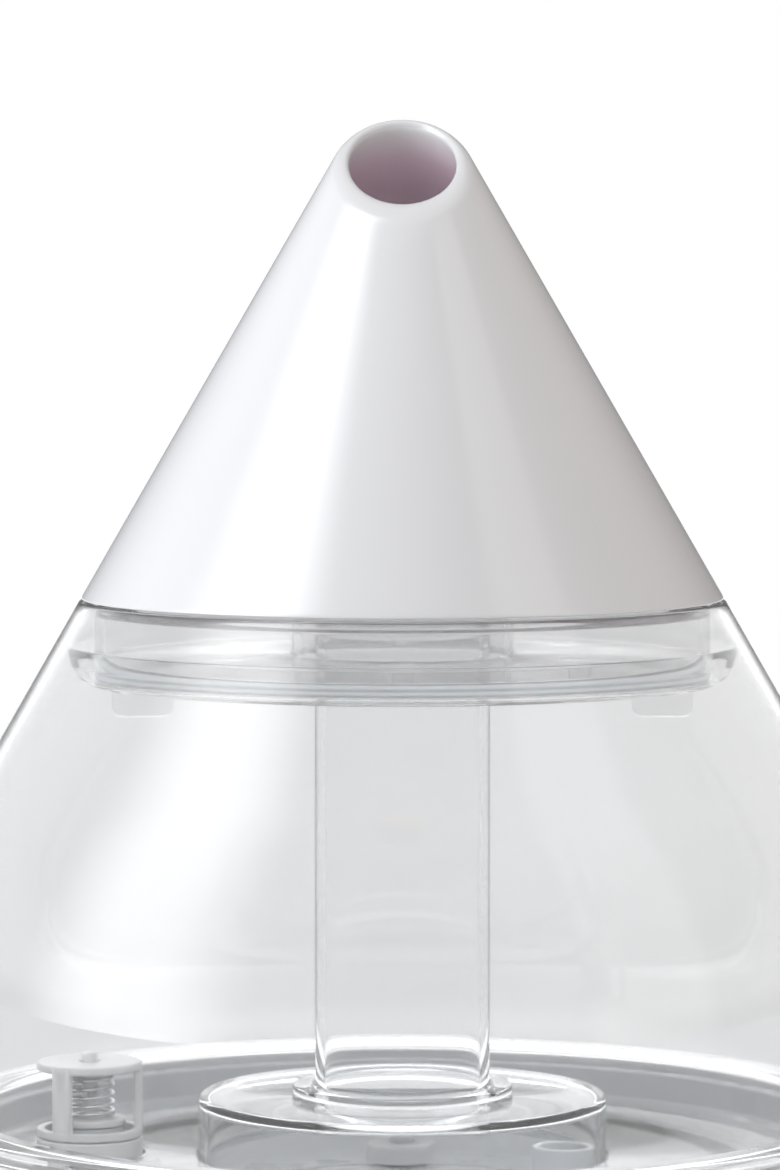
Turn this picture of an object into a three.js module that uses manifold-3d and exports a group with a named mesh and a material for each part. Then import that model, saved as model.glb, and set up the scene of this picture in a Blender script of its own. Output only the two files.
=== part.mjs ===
// A drop-shaped ultrasonic cool mist humidifier: a turning cone nozzle on a lift-off lid, a clear
// lift-off tank with a mist chimney and a sprung water valve, and a mains-adapter base with a water
// basin, ultrasonic transducer, fan, float and mist dial.
// Units are millimetres, +Z is up, the origin is the middle of the plane that the feet stand on, and
// the mist dial faces -Y.

import * as THREE from "three";
import { mergeVertices } from "three/addons/utils/BufferGeometryUtils.js";
import Module from "manifold-3d";

const wasm = await Module();
wasm.setup();

// ---------------------------------------------------------------- driving dimensions

const DEG = Math.PI / 180;
const BODY_RADIUS = 115; // widest radius of the drop
const CONE_HALF_ANGLE = 30 * DEG; // slope of the drop's upper cone, from the vertical
const WAIST_Z = 96.5; // height of the widest circle
const LOWER_DEPTH = 130; // vertical half axis of the ellipse below the widest circle
const FOOT_HEIGHT = 3;
const PAN_TOP_Z = 14; // joint between bottom pan and base housing
const SEAM_Z = 72; // joint between base and tank
const RIM_Z = 195; // joint between tank and nozzle cone
const WALL = 2.6; // housing and tank walls
const CONE_WALL = 3.2;
const GAP = 0.3; // between neighbouring pieces

const APEX_Z = WAIST_Z + BODY_RADIUS / Math.sin(CONE_HALF_ANGLE);

// The nozzle mouth is cut along a slanting plane, low at the front and high at the back.
const MOUTH_BACK = { y: 10.1, z: 309.1 };
const MOUTH_FRONT = { y: -24, z: 285 };

const CHIMNEY_RADIUS = 20.6;
const CHIMNEY_BORE = 18.4;
const POCKET_RADIUS = 48.2; // air pocket round the chimney's foot
const BASIN_FLOOR_Z = 50;
const TANK_FLOOR_Z = 62; // underside of the tank floor
const BASIN_RIM_RADIUS = 104.6;
const MIST_WELL_RADIUS = 24;
const WELL_WALL = 2.2;
const WELL_FLOOR_Z = 41;

const VALVE_X = -74; // water valve, left of the chimney
const FLOAT_Y = 74; // float post, behind the chimney
const AIR_PIPE_X = 38; // air pipe, right of the chimney
const AIR_PIPE_RADIUS = 7.4;
const FAN_X = 50;
const FAN_SIZE = 50;
const FAN_Z = 11;
const FAN_HEIGHT = 14;
const BOARD_X = -50;
const BOARD_Z = 13;

const SCREW_CIRCLE = 52; // base screws
const POST_TOP_Z = 39.5; // top of the bottom pan's hollow screw posts
const POST_BORE_Z = 36.5; // where the posts' wide bores end
const FOOT_CIRCLE = 69;
const FOOT_RADIUS = 8;

const DIAL_Z = 36; // height of the dial's centre on the housing
const DIAL_RADIUS = 14.6;
const DIAL_REACH = 5; // how far the dial stands out
const BEZEL_RADIUS = 17.4;
const LENS_Z = 60; // indicator above the dial
const SOCKET_Z = 27; // power socket at the back
const SOCKET_RADIUS = 7.2;

const SEGMENTS = { large: 32, medium: 20, small: 12, tiny: 6 };

// ---------------------------------------------------------------- the drop's outline

// Radius of the outline at height z, moved inwards by inset.
function bodyRadius(z, inset = 0) {
  const radius = BODY_RADIUS - inset;
  if (z < WAIST_Z) {
    return radius * Math.sqrt(1 - ((WAIST_Z - z) / (LOWER_DEPTH - inset)) ** 2);
  }
  if (z < WAIST_Z + radius * Math.sin(CONE_HALF_ANGLE)) {
    return Math.sqrt(radius ** 2 - (z - WAIST_Z) ** 2);
  }
  return (APEX_Z - inset / Math.sin(CONE_HALF_ANGLE) - z) * Math.tan(CONE_HALF_ANGLE);
}

// Points [r, z] of the outline from height a to height b.
function outline(a, b, steps, inset = 0) {
  return Array.from({ length: steps + 1 }, (_, i) => {
    const z = a + ((b - a) * i) / steps;
    return [bodyRadius(z, inset), z];
  });
}

// Downward tilt of the outline's normal at height z below the waist.
function outlineTilt(z) {
  const u = (WAIST_Z - z) / LOWER_DEPTH;
  return Math.atan((BODY_RADIUS * u) / (LOWER_DEPTH * Math.sqrt(1 - u * u)));
}

// ---------------------------------------------------------------- shape helpers

const UP = new THREE.Matrix4().makeRotationX(Math.PI / 2);

// Turns a profile of [r, z] points round Z. A profile that doesn't start on the axis is closed.
function turned(profile, segments) {
  const points = profile.map(([r, z]) => new THREE.Vector2(r, z));
  if (THREE.ShapeUtils.area(points) < 0) points.reverse();
  if (points[0].x > 0 || points.at(-1).x > 0) points.push(points[0].clone());
  return new THREE.LatheGeometry(points, segments).applyMatrix4(UP);
}

// A ring, tube or disc with a rectangular section.
function ring(inner, outer, low, high, segments) {
  if (inner <= 0) return turned([[0, low], [outer, low], [outer, high], [0, high]], segments);
  return turned([[inner, low], [outer, low], [outer, high], [inner, high]], segments);
}

function rod(radius, low, high, segments = SEGMENTS.small) {
  return ring(0, radius, low, high, segments);
}

function block(width, depth, height, x = 0, y = 0, z = 0) {
  return new THREE.BoxGeometry(width, depth, height).translate(x, y, z);
}

// An outline in X and Y raised from low to high.
function raised(shape, low, high, curveSegments = 6) {
  const settings = { depth: high - low, bevelEnabled: false, curveSegments };
  return new THREE.ExtrudeGeometry(shape, settings).translate(0, 0, low);
}

function roundedRectangle(width, height, radius) {
  const w = width / 2;
  const h = height / 2;
  const shape = new THREE.Shape();
  shape.moveTo(-w + radius, -h);
  shape.lineTo(w - radius, -h);
  shape.absarc(w - radius, -h + radius, radius, -Math.PI / 2, 0);
  shape.lineTo(w, h - radius);
  shape.absarc(w - radius, h - radius, radius, 0, Math.PI / 2);
  shape.lineTo(-w + radius, h);
  shape.absarc(-w + radius, h - radius, radius, Math.PI / 2, Math.PI);
  shape.lineTo(-w, -h + radius);
  shape.absarc(-w + radius, -h + radius, radius, Math.PI, 1.5 * Math.PI);
  return shape;
}

// A round tube along a smooth curve through the points.
function tubeAlong(points, radius, steps, sides = 8) {
  const section = new THREE.Shape(
    Array.from({ length: sides }, (_, i) => {
      const angle = (2 * Math.PI * i) / sides;
      return new THREE.Vector2(radius * Math.cos(angle), radius * Math.sin(angle));
    }),
  );
  const path = new THREE.CatmullRomCurve3(points.map((p) => new THREE.Vector3(...p)));
  return new THREE.ExtrudeGeometry(section, { steps, extrudePath: path });
}

function moved(geometry, x, y, z = 0) {
  return geometry.clone().translate(x, y, z);
}

function turnedAbout(geometry, angle) {
  return geometry.clone().rotateZ(angle);
}

// Angle from the front, seen from above, turning from -Y towards +X.
function around(radius, degrees) {
  return [radius * Math.sin(degrees * DEG), -radius * Math.cos(degrees * DEG)];
}

// A piece made round Z, with z 0 on the housing's face, moved to height z and square to the face.
function onHousing(geometry, z, turn = 0) {
  return geometry
    .clone()
    .rotateX(Math.PI / 2 + outlineTilt(z))
    .translate(0, -bodyRadius(z), z)
    .rotateZ(turn * DEG);
}

const DIAGONALS = [45, 135, 225, 315];

// ---------------------------------------------------------------- joining and cutting

function toSolid(geometry) {
  const loose = geometry.index ? geometry.toNonIndexed() : geometry;
  const bare = new THREE.BufferGeometry();
  bare.setAttribute("position", loose.getAttribute("position"));
  const merged = mergeVertices(bare, 1e-4);
  const index = merged.index.array;
  const kept = [];
  for (let i = 0; i < index.length; i += 3) {
    const [a, b, c] = [index[i], index[i + 1], index[i + 2]];
    if (a !== b && b !== c && a !== c) kept.push(a, b, c);
  }
  const vertProperties = merged.getAttribute("position").array;
  const triVerts = new Uint32Array(kept);
  return new wasm.Manifold(new wasm.Mesh({ numProp: 3, vertProperties, triVerts }));
}

function toGeometry(solid) {
  const mesh = solid.getMesh();
  const geometry = new THREE.BufferGeometry();
  const position = new Float32Array(mesh.numVert * 3);
  for (let i = 0; i < mesh.numVert; i++) {
    const start = i * mesh.numProp;
    position.set(mesh.vertProperties.subarray(start, start + 3), i * 3);
  }
  geometry.setAttribute("position", new THREE.BufferAttribute(position, 3));
  geometry.setIndex(new THREE.BufferAttribute(new Uint32Array(mesh.triVerts), 1));
  geometry.computeVertexNormals();
  return geometry;
}

function join(...geometries) {
  return toGeometry(geometries.map(toSolid).reduce((sum, next) => sum.add(next)));
}

function cut(geometry, ...tools) {
  const base = toSolid(geometry);
  return toGeometry(tools.map(toSolid).reduce((left, tool) => left.subtract(tool), base));
}

// ---------------------------------------------------------------- materials and the scene graph

function plastic(color, roughness = 0.3) {
  return new THREE.MeshStandardMaterial({ color, roughness, metalness: 0 });
}

function clear(color) {
  return new THREE.MeshStandardMaterial({ color, roughness: 0.08, transparent: true, opacity: 0.35 });
}

function metal(color, roughness = 0.35) {
  return new THREE.MeshStandardMaterial({ color, roughness, metalness: 1 });
}

const MATERIALS = {
  whiteGloss: plastic(0xf1f0ef, 0.12),
  whiteSatin: plastic(0xe9e9ea, 0.4),
  basinGrey: plastic(0xdfe2e5, 0.3),
  clearTank: clear(0xe6eaec),
  silicone: plastic(0xc9cdd0, 0.55),
  rubber: plastic(0x8d9094, 0.85),
  darkPlastic: plastic(0x1b1c1e, 0.45),
  fanBlack: plastic(0x202225, 0.5),
  foam: plastic(0x4a4c50, 0.95),
  board: plastic(0x1f6b3d, 0.45),
  steel: metal(0xc5c7ca, 0.3),
  brass: metal(0xc9a960, 0.3),
  aluminium: metal(0xb9bcc0, 0.4),
  lens: plastic(0x4fb4e8, 0.1),
  lead: plastic(0x2b2b2e, 0.5),
};

const humidifier = new THREE.Group();

function place(name, geometry, material, parent = humidifier) {
  const mesh = new THREE.Mesh(geometry, material);
  mesh.name = name;
  parent.add(mesh);
  return mesh;
}

// ---------------------------------------------------------------- nozzle: turns on the lid

function nozzleCone() {
  const bottom = RIM_Z + 0.5;
  const innerApex = APEX_Z - CONE_WALL / Math.sin(CONE_HALF_ANGLE);
  const shell = turned(
    [
      [0, innerApex],
      [bodyRadius(bottom, CONE_WALL), bottom],
      [bodyRadius(bottom) - 0.5, bottom],
      [bodyRadius(bottom + 0.6), bottom + 0.6],
      [0, APEX_Z],
    ],
    SEGMENTS.large,
  );
  const slope = Math.atan2(MOUTH_BACK.z - MOUTH_FRONT.z, MOUTH_BACK.y - MOUTH_FRONT.y);
  const size = 80;
  const above = block(size, size, size, 0, 0, size / 2).rotateX(slope);
  above.translate(
    0,
    (MOUTH_BACK.y + MOUTH_FRONT.y) / 2,
    (MOUTH_BACK.z + MOUTH_FRONT.z) / 2,
  );
  return cut(shell, above);
}

// A ring inside the cone's foot that holds it under the lid's bead, and lets it turn.
function nozzleRetainer() {
  const low = RIM_Z + 0.9;
  const high = low + 2.7;
  return turned(
    [
      [65.2, low],
      [bodyRadius(low, CONE_WALL) - GAP, low],
      [bodyRadius(high, CONE_WALL) - GAP, high],
      [65.2, high],
    ],
    SEGMENTS.large,
  );
}

// ---------------------------------------------------------------- lid: lifts off for filling

const LID_FLOOR_Z = 180.4;
const LID_SKIRT_RADIUS = 72.2;
const LUG_TURNS = [0, 180];

function lidPlug() {
  const floorTop = LID_FLOOR_Z + 2;
  const shoulder = RIM_Z - 1.4;
  const beadTop = RIM_Z + 6;
  const body = turned(
    [
      [24, 172],
      [26, 172],
      [26, LID_FLOOR_Z],
      [LID_SKIRT_RADIUS, LID_FLOOR_Z],
      [LID_SKIRT_RADIUS, shoulder],
      [64.6, shoulder],
      [64.6, beadTop - 2],
      [66, beadTop - 1.6],
      [64.9, beadTop],
      [62.6, beadTop],
      [62.6, shoulder - 2],
      [70, shoulder - 2],
      [70, floorTop],
      [26, floorTop],
      [26, 190],
      [24, 190],
    ],
    SEGMENTS.large,
  );
  const lugShape = roundedRectangle(14.4, 14, 2.4);
  const lugs = LUG_TURNS.map((turn) => {
    const lug = raised(lugShape, -1.1, 1.1, 2).rotateX(Math.PI / 2);
    return moved(lug, 61.2, 0, LID_FLOOR_Z - 6.2).rotateZ(turn * DEG);
  });
  const drains = Array.from({ length: 6 }, (_, i) =>
    moved(rod(2.5, LID_FLOOR_Z - 1, floorTop + 1, SEGMENTS.tiny), ...around(45, 60 * i)),
  );
  return cut(join(body, ...lugs), ...drains);
}

function lidSeal() {
  return turned(
    [
      [69.6, LID_FLOOR_Z - 2.9],
      [72.6, LID_FLOOR_Z - 2.9],
      [72.6, LID_FLOOR_Z - GAP],
      [69.6, LID_FLOOR_Z - GAP],
    ],
    SEGMENTS.large,
  );
}

// ---------------------------------------------------------------- tank: lifts off the base

function tankShell() {
  const low = SEAM_Z + 0.2;
  const tangent = WAIST_Z + BODY_RADIUS * Math.sin(CONE_HALF_ANGLE);
  const outside = [...outline(low, WAIST_Z, 2), ...outline(WAIST_Z, tangent, 5).slice(1)];
  const inside = [...outline(low, WAIST_Z, 2, WALL), ...outline(WAIST_Z, tangent, 5, WALL).slice(1)];
  const rim = [
    [bodyRadius(RIM_Z), RIM_Z],
    [bodyRadius(RIM_Z, WALL), RIM_Z],
  ];
  return turned([...outside, ...rim, ...inside.reverse()], SEGMENTS.large);
}

// A clear dish bonded inside the tank's mouth, whose ledge carries the lid's seal.
function neckSeat() {
  const ledge = 175.4;
  const top = 184.4;
  return turned(
    [
      [69.4, ledge],
      [73.4, ledge],
      [76, ledge + 1.6],
      [77.7, ledge + 4.6],
      [bodyRadius(top, WALL) - GAP, top],
      [76.6, top],
      [73.1, ledge + 1.8],
      [69.4, ledge + 1.8],
    ],
    SEGMENTS.large,
  );
}

// Closes the tank from below, round the air pocket cup.
function tankFloor() {
  const under = TANK_FLOOR_Z;
  const thick = 2.2;
  const flange = SEAM_Z + 2;
  const floor = turned(
    [
      [102.9, under],
      [102.9, flange],
      [bodyRadius(flange, WALL) - 0.5, flange],
      [bodyRadius(flange + thick, WALL) - 0.5, flange + thick],
      [100.7, flange + thick],
      [100.7, under + thick],
      [POCKET_RADIUS + GAP, under + thick],
      [POCKET_RADIUS + GAP, under],
    ],
    SEGMENTS.large,
  );
  return cut(floor, moved(rod(13.3, under - 2, under + 4), VALVE_X, 0));
}

// A cup upside down, bonded into the tank floor, that holds air round the chimney's foot.
function airPocketCup() {
  const thick = 2.2;
  const top = 78.2;
  const low = 54;
  return turned(
    [
      [POCKET_RADIUS, low],
      [POCKET_RADIUS, top],
      [CHIMNEY_RADIUS + GAP, top],
      [CHIMNEY_RADIUS + GAP, top - thick],
      [POCKET_RADIUS - thick, top - thick],
      [POCKET_RADIUS - thick, low],
    ],
    SEGMENTS.large,
  );
}

function mistChimney() {
  const foot = 78.5;
  return turned(
    [
      [CHIMNEY_BORE, 72],
      [CHIMNEY_RADIUS, 72],
      [CHIMNEY_RADIUS, foot],
      [26, foot],
      [26, foot + 2.2],
      [CHIMNEY_RADIUS, foot + 2.2],
      [CHIMNEY_RADIUS, 187],
      [CHIMNEY_BORE, 187],
    ],
    SEGMENTS.medium,
  );
}

// ---------------------------------------------------------------- water valve in the tank floor

const VALVE_SEAT_Z = 66;
const VALVE_OPEN = 3; // travel of the plunger

// Two bars that cross a ring of the given radius.
function spokes(radius, width, low, high) {
  return [0, 90].map((turn) =>
    turnedAbout(block(2 * radius, width, high - low, 0, 0, (low + high) / 2), turn * DEG),
  );
}

function valveBody() {
  const shell = turned(
    [
      [9.5, 58.9],
      [16.2, 58.9],
      [16.2, 60.7],
      [12.6, 60.7],
      [12.6, VALVE_SEAT_Z + 2],
      [10.9, VALVE_SEAT_Z + 2],
      [10.9, VALVE_SEAT_Z],
      [6, VALVE_SEAT_Z],
      [6, VALVE_SEAT_Z - 2],
      [10.2, VALVE_SEAT_Z - 2],
    ],
    SEGMENTS.small,
  );
  const guide = rod(3.7, 59.2, 61.2);
  const stemHole = rod(2.3, 58, 63);
  return cut(join(shell, guide, ...spokes(9.8, 1.4, 59.2, 60.8)), stemHole);
}

function valveCage() {
  const low = VALVE_SEAT_Z + 2 + GAP;
  const top = 86;
  const foot = ring(10.6, 12.5, low, low + 2, SEGMENTS.small);
  const roof = ring(2.4, 12.5, top - 2, top, SEGMENTS.small);
  const legs = [0, 120, 240].map((turn) =>
    turnedAbout(block(1.8, 5, top - low, 11.5, 0, (top + low) / 2), turn * DEG),
  );
  return join(foot, roof, ...legs);
}

// Stem and disc, shown lifted off the seat by the base's pin.
function valvePlunger() {
  return turned(
    [
      [0, 58.2],
      [1.9, 58.2],
      [1.9, VALVE_SEAT_Z + 5],
      [8.6, VALVE_SEAT_Z + 5],
      [8.6, VALVE_SEAT_Z + 6.6],
      [1.9, VALVE_SEAT_Z + 6.6],
      [1.9, 88],
      [0, 88],
    ],
    SEGMENTS.small,
  );
}

function valveWasher() {
  const low = VALVE_SEAT_Z + VALVE_OPEN + 0.2;
  return ring(2.2, 8, low, VALVE_SEAT_Z + 5 - GAP, SEGMENTS.small);
}

function valveSpring() {
  const turns = 4;
  const stepsPerTurn = 10;
  const radius = 5.6;
  const wire = 0.45;
  const low = VALVE_SEAT_Z + 6.6 + GAP + wire;
  const high = 84 - GAP - wire;
  const count = turns * stepsPerTurn;
  const points = Array.from({ length: count + 1 }, (_, i) => {
    const angle = (2 * Math.PI * i) / stepsPerTurn;
    return [radius * Math.cos(angle), radius * Math.sin(angle), low + ((high - low) * i) / count];
  });
  return tubeAlong(points, wire, count, 4);
}

// ---------------------------------------------------------------- base shells

function baseHousing() {
  const low = PAN_TOP_Z + GAP;
  const high = SEAM_Z - 0.1;
  const ledge = 68;
  const bore = bodyRadius(high, WALL) - 0.2;
  const shell = turned(
    [
      ...outline(low, high, 4),
      [bore, high],
      [bore, ledge],
      [107.2, ledge],
      [107.2, ledge - 2.2],
      ...outline(low, ledge - 2.2, 4, WALL).reverse(),
    ],
    SEGMENTS.large,
  );
  const bezelHole = onHousing(rod(BEZEL_RADIUS + GAP, -14, 14, SEGMENTS.medium), DIAL_Z);
  const socketHole = onHousing(rod(SOCKET_RADIUS + GAP, -8, 8), SOCKET_Z, 180);
  const lensHole = onHousing(rod(2.2, -8, 8, SEGMENTS.tiny), LENS_Z);
  return cut(shell, bezelHole, socketHole, lensHole);
}

function basePan() {
  const low = FOOT_HEIGHT;
  const floorTop = low + 2.4;
  const lip = PAN_TOP_Z + 4;
  const inner = WALL + 0.5;
  const shell = turned(
    [
      [0, low],
      [bodyRadius(low) - 1.2, low],
      ...outline(low + 1, PAN_TOP_Z, 3),
      [bodyRadius(PAN_TOP_Z, inner), PAN_TOP_Z],
      [bodyRadius(lip, inner), lip],
      [bodyRadius(lip, inner + 1.8), lip],
      [bodyRadius(PAN_TOP_Z, inner + 1.8), PAN_TOP_Z],
      [bodyRadius(floorTop + 2, WALL), floorTop + 2],
      [bodyRadius(floorTop, WALL) - 2, floorTop],
      [0, floorTop],
    ],
    SEGMENTS.large,
  );
  const overlap = floorTop - 0.4;
  const fanPosts = corners(40, 40).map(([x, y]) =>
    moved(rod(3, overlap, FAN_Z - GAP, SEGMENTS.tiny), FAN_X + x, y),
  );
  const boardPosts = corners(40, 50).map(([x, y]) =>
    moved(rod(2.6, overlap, BOARD_Z - GAP, SEGMENTS.tiny), BOARD_X + x, y),
  );
  const filterWall = moved(ring(25.2, 26.8, overlap, 9.5, SEGMENTS.medium), FAN_X, 0);
  const screwPosts = DIAGONALS.map((turn) =>
    moved(rod(5.4, overlap, POST_TOP_Z), ...around(SCREW_CIRCLE, turn)),
  );
  const solid = join(shell, ...fanPosts, ...boardPosts, filterWall, ...screwPosts);
  const screwHoles = DIAGONALS.flatMap((turn) => {
    const at = around(SCREW_CIRCLE, turn);
    const shankHole = rod(1.9, 0, POST_TOP_Z + 2, SEGMENTS.tiny);
    const headHole = rod(4.1, 0, POST_BORE_Z);
    return [moved(shankHole, ...at), moved(headHole, ...at)];
  });
  const footRecesses = DIAGONALS.map((turn) =>
    moved(rod(FOOT_RADIUS + GAP, 0, low + 0.7), ...around(FOOT_CIRCLE, turn)),
  );
  const intake = moved(rod(24.6, 0, 7, SEGMENTS.medium), FAN_X, 0);
  const fanPilots = FAN_SCREWS.map(([x, y]) => moved(rod(1.5, 6, 12, SEGMENTS.tiny), FAN_X + x, y));
  const boardPilots = BOARD_SCREWS.map(([x, y]) =>
    moved(rod(1.5, 6, 14, SEGMENTS.tiny), BOARD_X + x, y),
  );
  const holes = [...screwHoles, ...footRecesses, intake, ...fanPilots, ...boardPilots];
  return cut(solid, ...holes);
}

// The four corners of a width by depth rectangle round the middle.
function corners(width, depth) {
  const [x, y] = [width / 2, depth / 2];
  return [
    [x, y],
    [-x, y],
    [-x, -y],
    [x, -y],
  ];
}

function foot(turn) {
  const [x, y] = around(FOOT_CIRCLE, turn);
  const profile = [
    [0, 0],
    [FOOT_RADIUS - 0.8, 0],
    [FOOT_RADIUS, 0.8],
    [FOOT_RADIUS, FOOT_HEIGHT + 0.4],
    [0, FOOT_HEIGHT + 0.4],
  ];
  return moved(turned(profile, SEGMENTS.small), x, y);
}

// A pan-head screw pointing up, its head's underside at z 0.
function screw(shank, length, head, headHeight) {
  return turned(
    [
      [0, -headHeight],
      [head * 0.75, -headHeight],
      [head, -headHeight * 0.5],
      [head, 0],
      [shank, 0],
      [shank, length - shank],
      [0, length],
    ],
    SEGMENTS.tiny,
  );
}

function baseScrew(turn) {
  return moved(screw(1.5, 9.5, 3.6, 2), ...around(SCREW_CIRCLE, turn), POST_BORE_Z - GAP);
}

// ---------------------------------------------------------------- water basin in the base

function waterBasin() {
  const under = BASIN_FLOOR_Z - 2.2;
  const rim = 68.3;
  const inner = MIST_WELL_RADIUS + WELL_WALL + GAP;
  const shell = turned(
    [
      [inner, under],
      [94, under],
      [BASIN_RIM_RADIUS + 2.2, 64],
      [BASIN_RIM_RADIUS + 2.2, rim],
      [109.4, rim],
      [109.4, rim + 2],
      [BASIN_RIM_RADIUS, rim + 2],
      [BASIN_RIM_RADIUS, 63],
      [92, BASIN_FLOOR_Z],
      [inner, BASIN_FLOOR_Z],
    ],
    SEGMENTS.large,
  );
  const into = under + 1;
  const valvePin = moved(rod(2.2, into, 57.9, SEGMENTS.tiny), VALVE_X, 0);
  const floatPost = moved(rod(3, into, 60.2), 0, FLOAT_Y);
  const screwBosses = DIAGONALS.map((turn) =>
    moved(rod(4.6, POST_TOP_Z + GAP, into, SEGMENTS.tiny), ...around(SCREW_CIRCLE, turn)),
  );
  const solid = join(shell, valvePin, floatPost, ...screwBosses);
  const pipeHole = moved(
    rod(AIR_PIPE_RADIUS + GAP, under - 2, 52, SEGMENTS.medium), AIR_PIPE_X, 0);
  const sensorHole = moved(rod(1.9, under - 2, 58, SEGMENTS.tiny), 0, FLOAT_Y);
  const pilots = DIAGONALS.map((turn) =>
    moved(rod(1.8, 38, 46.6, SEGMENTS.tiny), ...around(SCREW_CIRCLE, turn)),
  );
  return cut(solid, pipeHole, sensorHole, ...pilots);
}

// A cup in the basin's middle, lapped over its floor, with the ultrasonic disc under its hole.
function mistWell() {
  const under = WELL_FLOOR_Z - 2.4;
  const outer = MIST_WELL_RADIUS + WELL_WALL;
  const lap = BASIN_FLOOR_Z + GAP;
  const shell = turned(
    [
      [8.6, under],
      [13, under],
      [13, under - 3.4],
      [14.6, under - 3.4],
      [14.6, under],
      [outer, under],
      [outer, lap],
      [outer + 2.8, lap],
      [outer + 2.8, lap + 1.6],
      [MIST_WELL_RADIUS, lap + 1.6],
      [MIST_WELL_RADIUS, WELL_FLOOR_Z],
      [8.6, WELL_FLOOR_Z],
    ],
    SEGMENTS.large,
  );
  const clampBosses = CLAMP_SCREWS.map(([x, y]) =>
    moved(rod(2.8, 35, under + 1, SEGMENTS.tiny), x, y),
  );
  const clampPilots = CLAMP_SCREWS.map(([x, y]) => moved(rod(1.2, 33, 40, SEGMENTS.tiny), x, y));
  return cut(join(shell, ...clampBosses), ...clampPilots);
}

// Carries the fan's air up through the basin's water into the tank floor's air pocket.
function airPipe() {
  const lap = BASIN_FLOOR_Z + GAP;
  const pipe = turned(
    [
      [AIR_PIPE_RADIUS - 1.6, 44],
      [AIR_PIPE_RADIUS, 44],
      [AIR_PIPE_RADIUS, lap],
      [AIR_PIPE_RADIUS + 1.2, lap],
      [AIR_PIPE_RADIUS, lap + 1.6],
      [AIR_PIPE_RADIUS, 66],
      [AIR_PIPE_RADIUS - 1.6, 66],
    ],
    SEGMENTS.medium,
  );
  return moved(pipe, AIR_PIPE_X, 0);
}

function waterFloat() {
  const low = BASIN_FLOOR_Z + 0.4;
  return moved(
    turned(
      [
        [3.4, low],
        [8, low],
        [9, low + 1],
        [9, low + 4],
        [8, low + 5],
        [3.4, low + 5],
      ],
      SEGMENTS.small,
    ),
    0,
    FLOAT_Y,
  );
}

function floatCap() {
  return moved(rod(5, 60.5, 61.7), 0, FLOAT_Y);
}

function reedSwitch() {
  return moved(rod(1.4, BASIN_FLOOR_Z - 4, 57, SEGMENTS.tiny), 0, FLOAT_Y);
}

// ---------------------------------------------------------------- ultrasonic transducer

const CLAMP_SCREWS = [
  [18.5, 0],
  [-18.5, 0],
];

function transducerDisc() {
  return ring(0, 10, 36.3, 37.5, SEGMENTS.small);
}

function transducerGasket() {
  return turned(
    [
      [8.2, 35.2],
      [12.6, 35.2],
      [12.6, 38.3],
      [8.2, 38.3],
      [8.2, 37.8],
      [10.4, 37.8],
      [10.4, 36],
      [8.2, 36],
    ],
    SEGMENTS.small,
  );
}

function transducerClamp() {
  const disc = ring(8.2, 17, 32.6, 34.7, SEGMENTS.medium);
  const ears = CLAMP_SCREWS.map(([x, y]) => moved(rod(4, 32.6, 34.7, SEGMENTS.small), x, y));
  const holes = CLAMP_SCREWS.map(([x, y]) => moved(rod(1.6, 30, 36, SEGMENTS.tiny), x, y));
  const bore = rod(8.2, 30, 36, SEGMENTS.small);
  return cut(join(disc, ...ears), bore, ...holes);
}

// ---------------------------------------------------------------- fan and air path

const FAN_SCREWS = [
  [20, 20],
  [-20, -20],
];

function fanFrame() {
  const shape = roundedRectangle(FAN_SIZE, FAN_SIZE, 4);
  const top = FAN_Z + FAN_HEIGHT;
  const frame = raised(shape, FAN_Z, top, 3);
  const bore = rod(23.6, FAN_Z - 1, top + 1, SEGMENTS.medium);
  const cornerHoles = corners(40, 40).map(([x, y]) =>
    moved(rod(1.9, FAN_Z - 1, top + 1, SEGMENTS.tiny), x, y),
  );
  const hub = rod(9, FAN_Z, FAN_Z + 1.6);
  const struts = spokes(24, 2, FAN_Z, FAN_Z + 1.6);
  return moved(join(cut(frame, bore, ...cornerHoles), hub, ...struts), FAN_X, 0);
}

function fanRotor() {
  const low = FAN_Z + 2.2;
  const high = FAN_Z + FAN_HEIGHT - 0.8;
  const blades = 7;
  const hub = turned(
    [
      [0, low],
      [9.4, low],
      [9.4, high - 1],
      [8.4, high],
      [0, high],
    ],
    SEGMENTS.small,
  );
  const blade = block(13.6, 13, 1.2).rotateX(-38 * DEG).translate(15, 0, (low + high) / 2);
  const all = Array.from({ length: blades }, (_, i) =>
    turnedAbout(blade, (2 * Math.PI * i) / blades),
  );
  return moved(join(hub, ...all), FAN_X, 0);
}

function fanScrew([x, y]) {
  return moved(screw(1.2, 17.5, 2.8, 1.6).rotateX(Math.PI), FAN_X + x, y, FAN_Z + FAN_HEIGHT + GAP);
}

// A funnel from the fan's round mouth, leaning inwards to the basin's air tube.
function airDuct() {
  const low = FAN_Z + FAN_HEIGHT + 2.4;
  const straightFrom = 42.5;
  const lean = AIR_PIPE_X - FAN_X;
  const funnel = turned(
    [
      [20.6, low],
      [22.4, low],
      [22.4, low + 1.8],
      [9.5, straightFrom],
      [9.5, 47.4],
      [7.8, 47.4],
      [7.8, straightFrom],
      [20.6, low + 2.4],
    ],
    SEGMENTS.medium,
  );
  const position = funnel.getAttribute("position");
  for (let i = 0; i < position.count; i++) {
    const share = THREE.MathUtils.clamp(
      (position.getZ(i) - low - 2.4) / (straightFrom - low - 2.4), 0, 1);
    position.setX(i, position.getX(i) + FAN_X + lean * share);
  }
  return funnel;
}

function intakeGrille() {
  const low = FOOT_HEIGHT;
  const disc = ring(0, 24.3, low, low + 1.2, SEGMENTS.medium);
  const slots = [-15, -10, -5, 0, 5, 10, 15].map((y) => {
    const length = 2 * Math.sqrt(20 ** 2 - y ** 2);
    return block(length, 2.6, 6, 0, y, low);
  });
  const rib = block(1.6, 43, 0.8, 0, 0, low + 0.6);
  return moved(join(cut(disc, ...slots), rib), FAN_X, 0);
}

function intakeFilter() {
  return moved(ring(0, 24, FOOT_HEIGHT + 1.6, 9.2, SEGMENTS.medium), FAN_X, 0);
}

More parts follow.
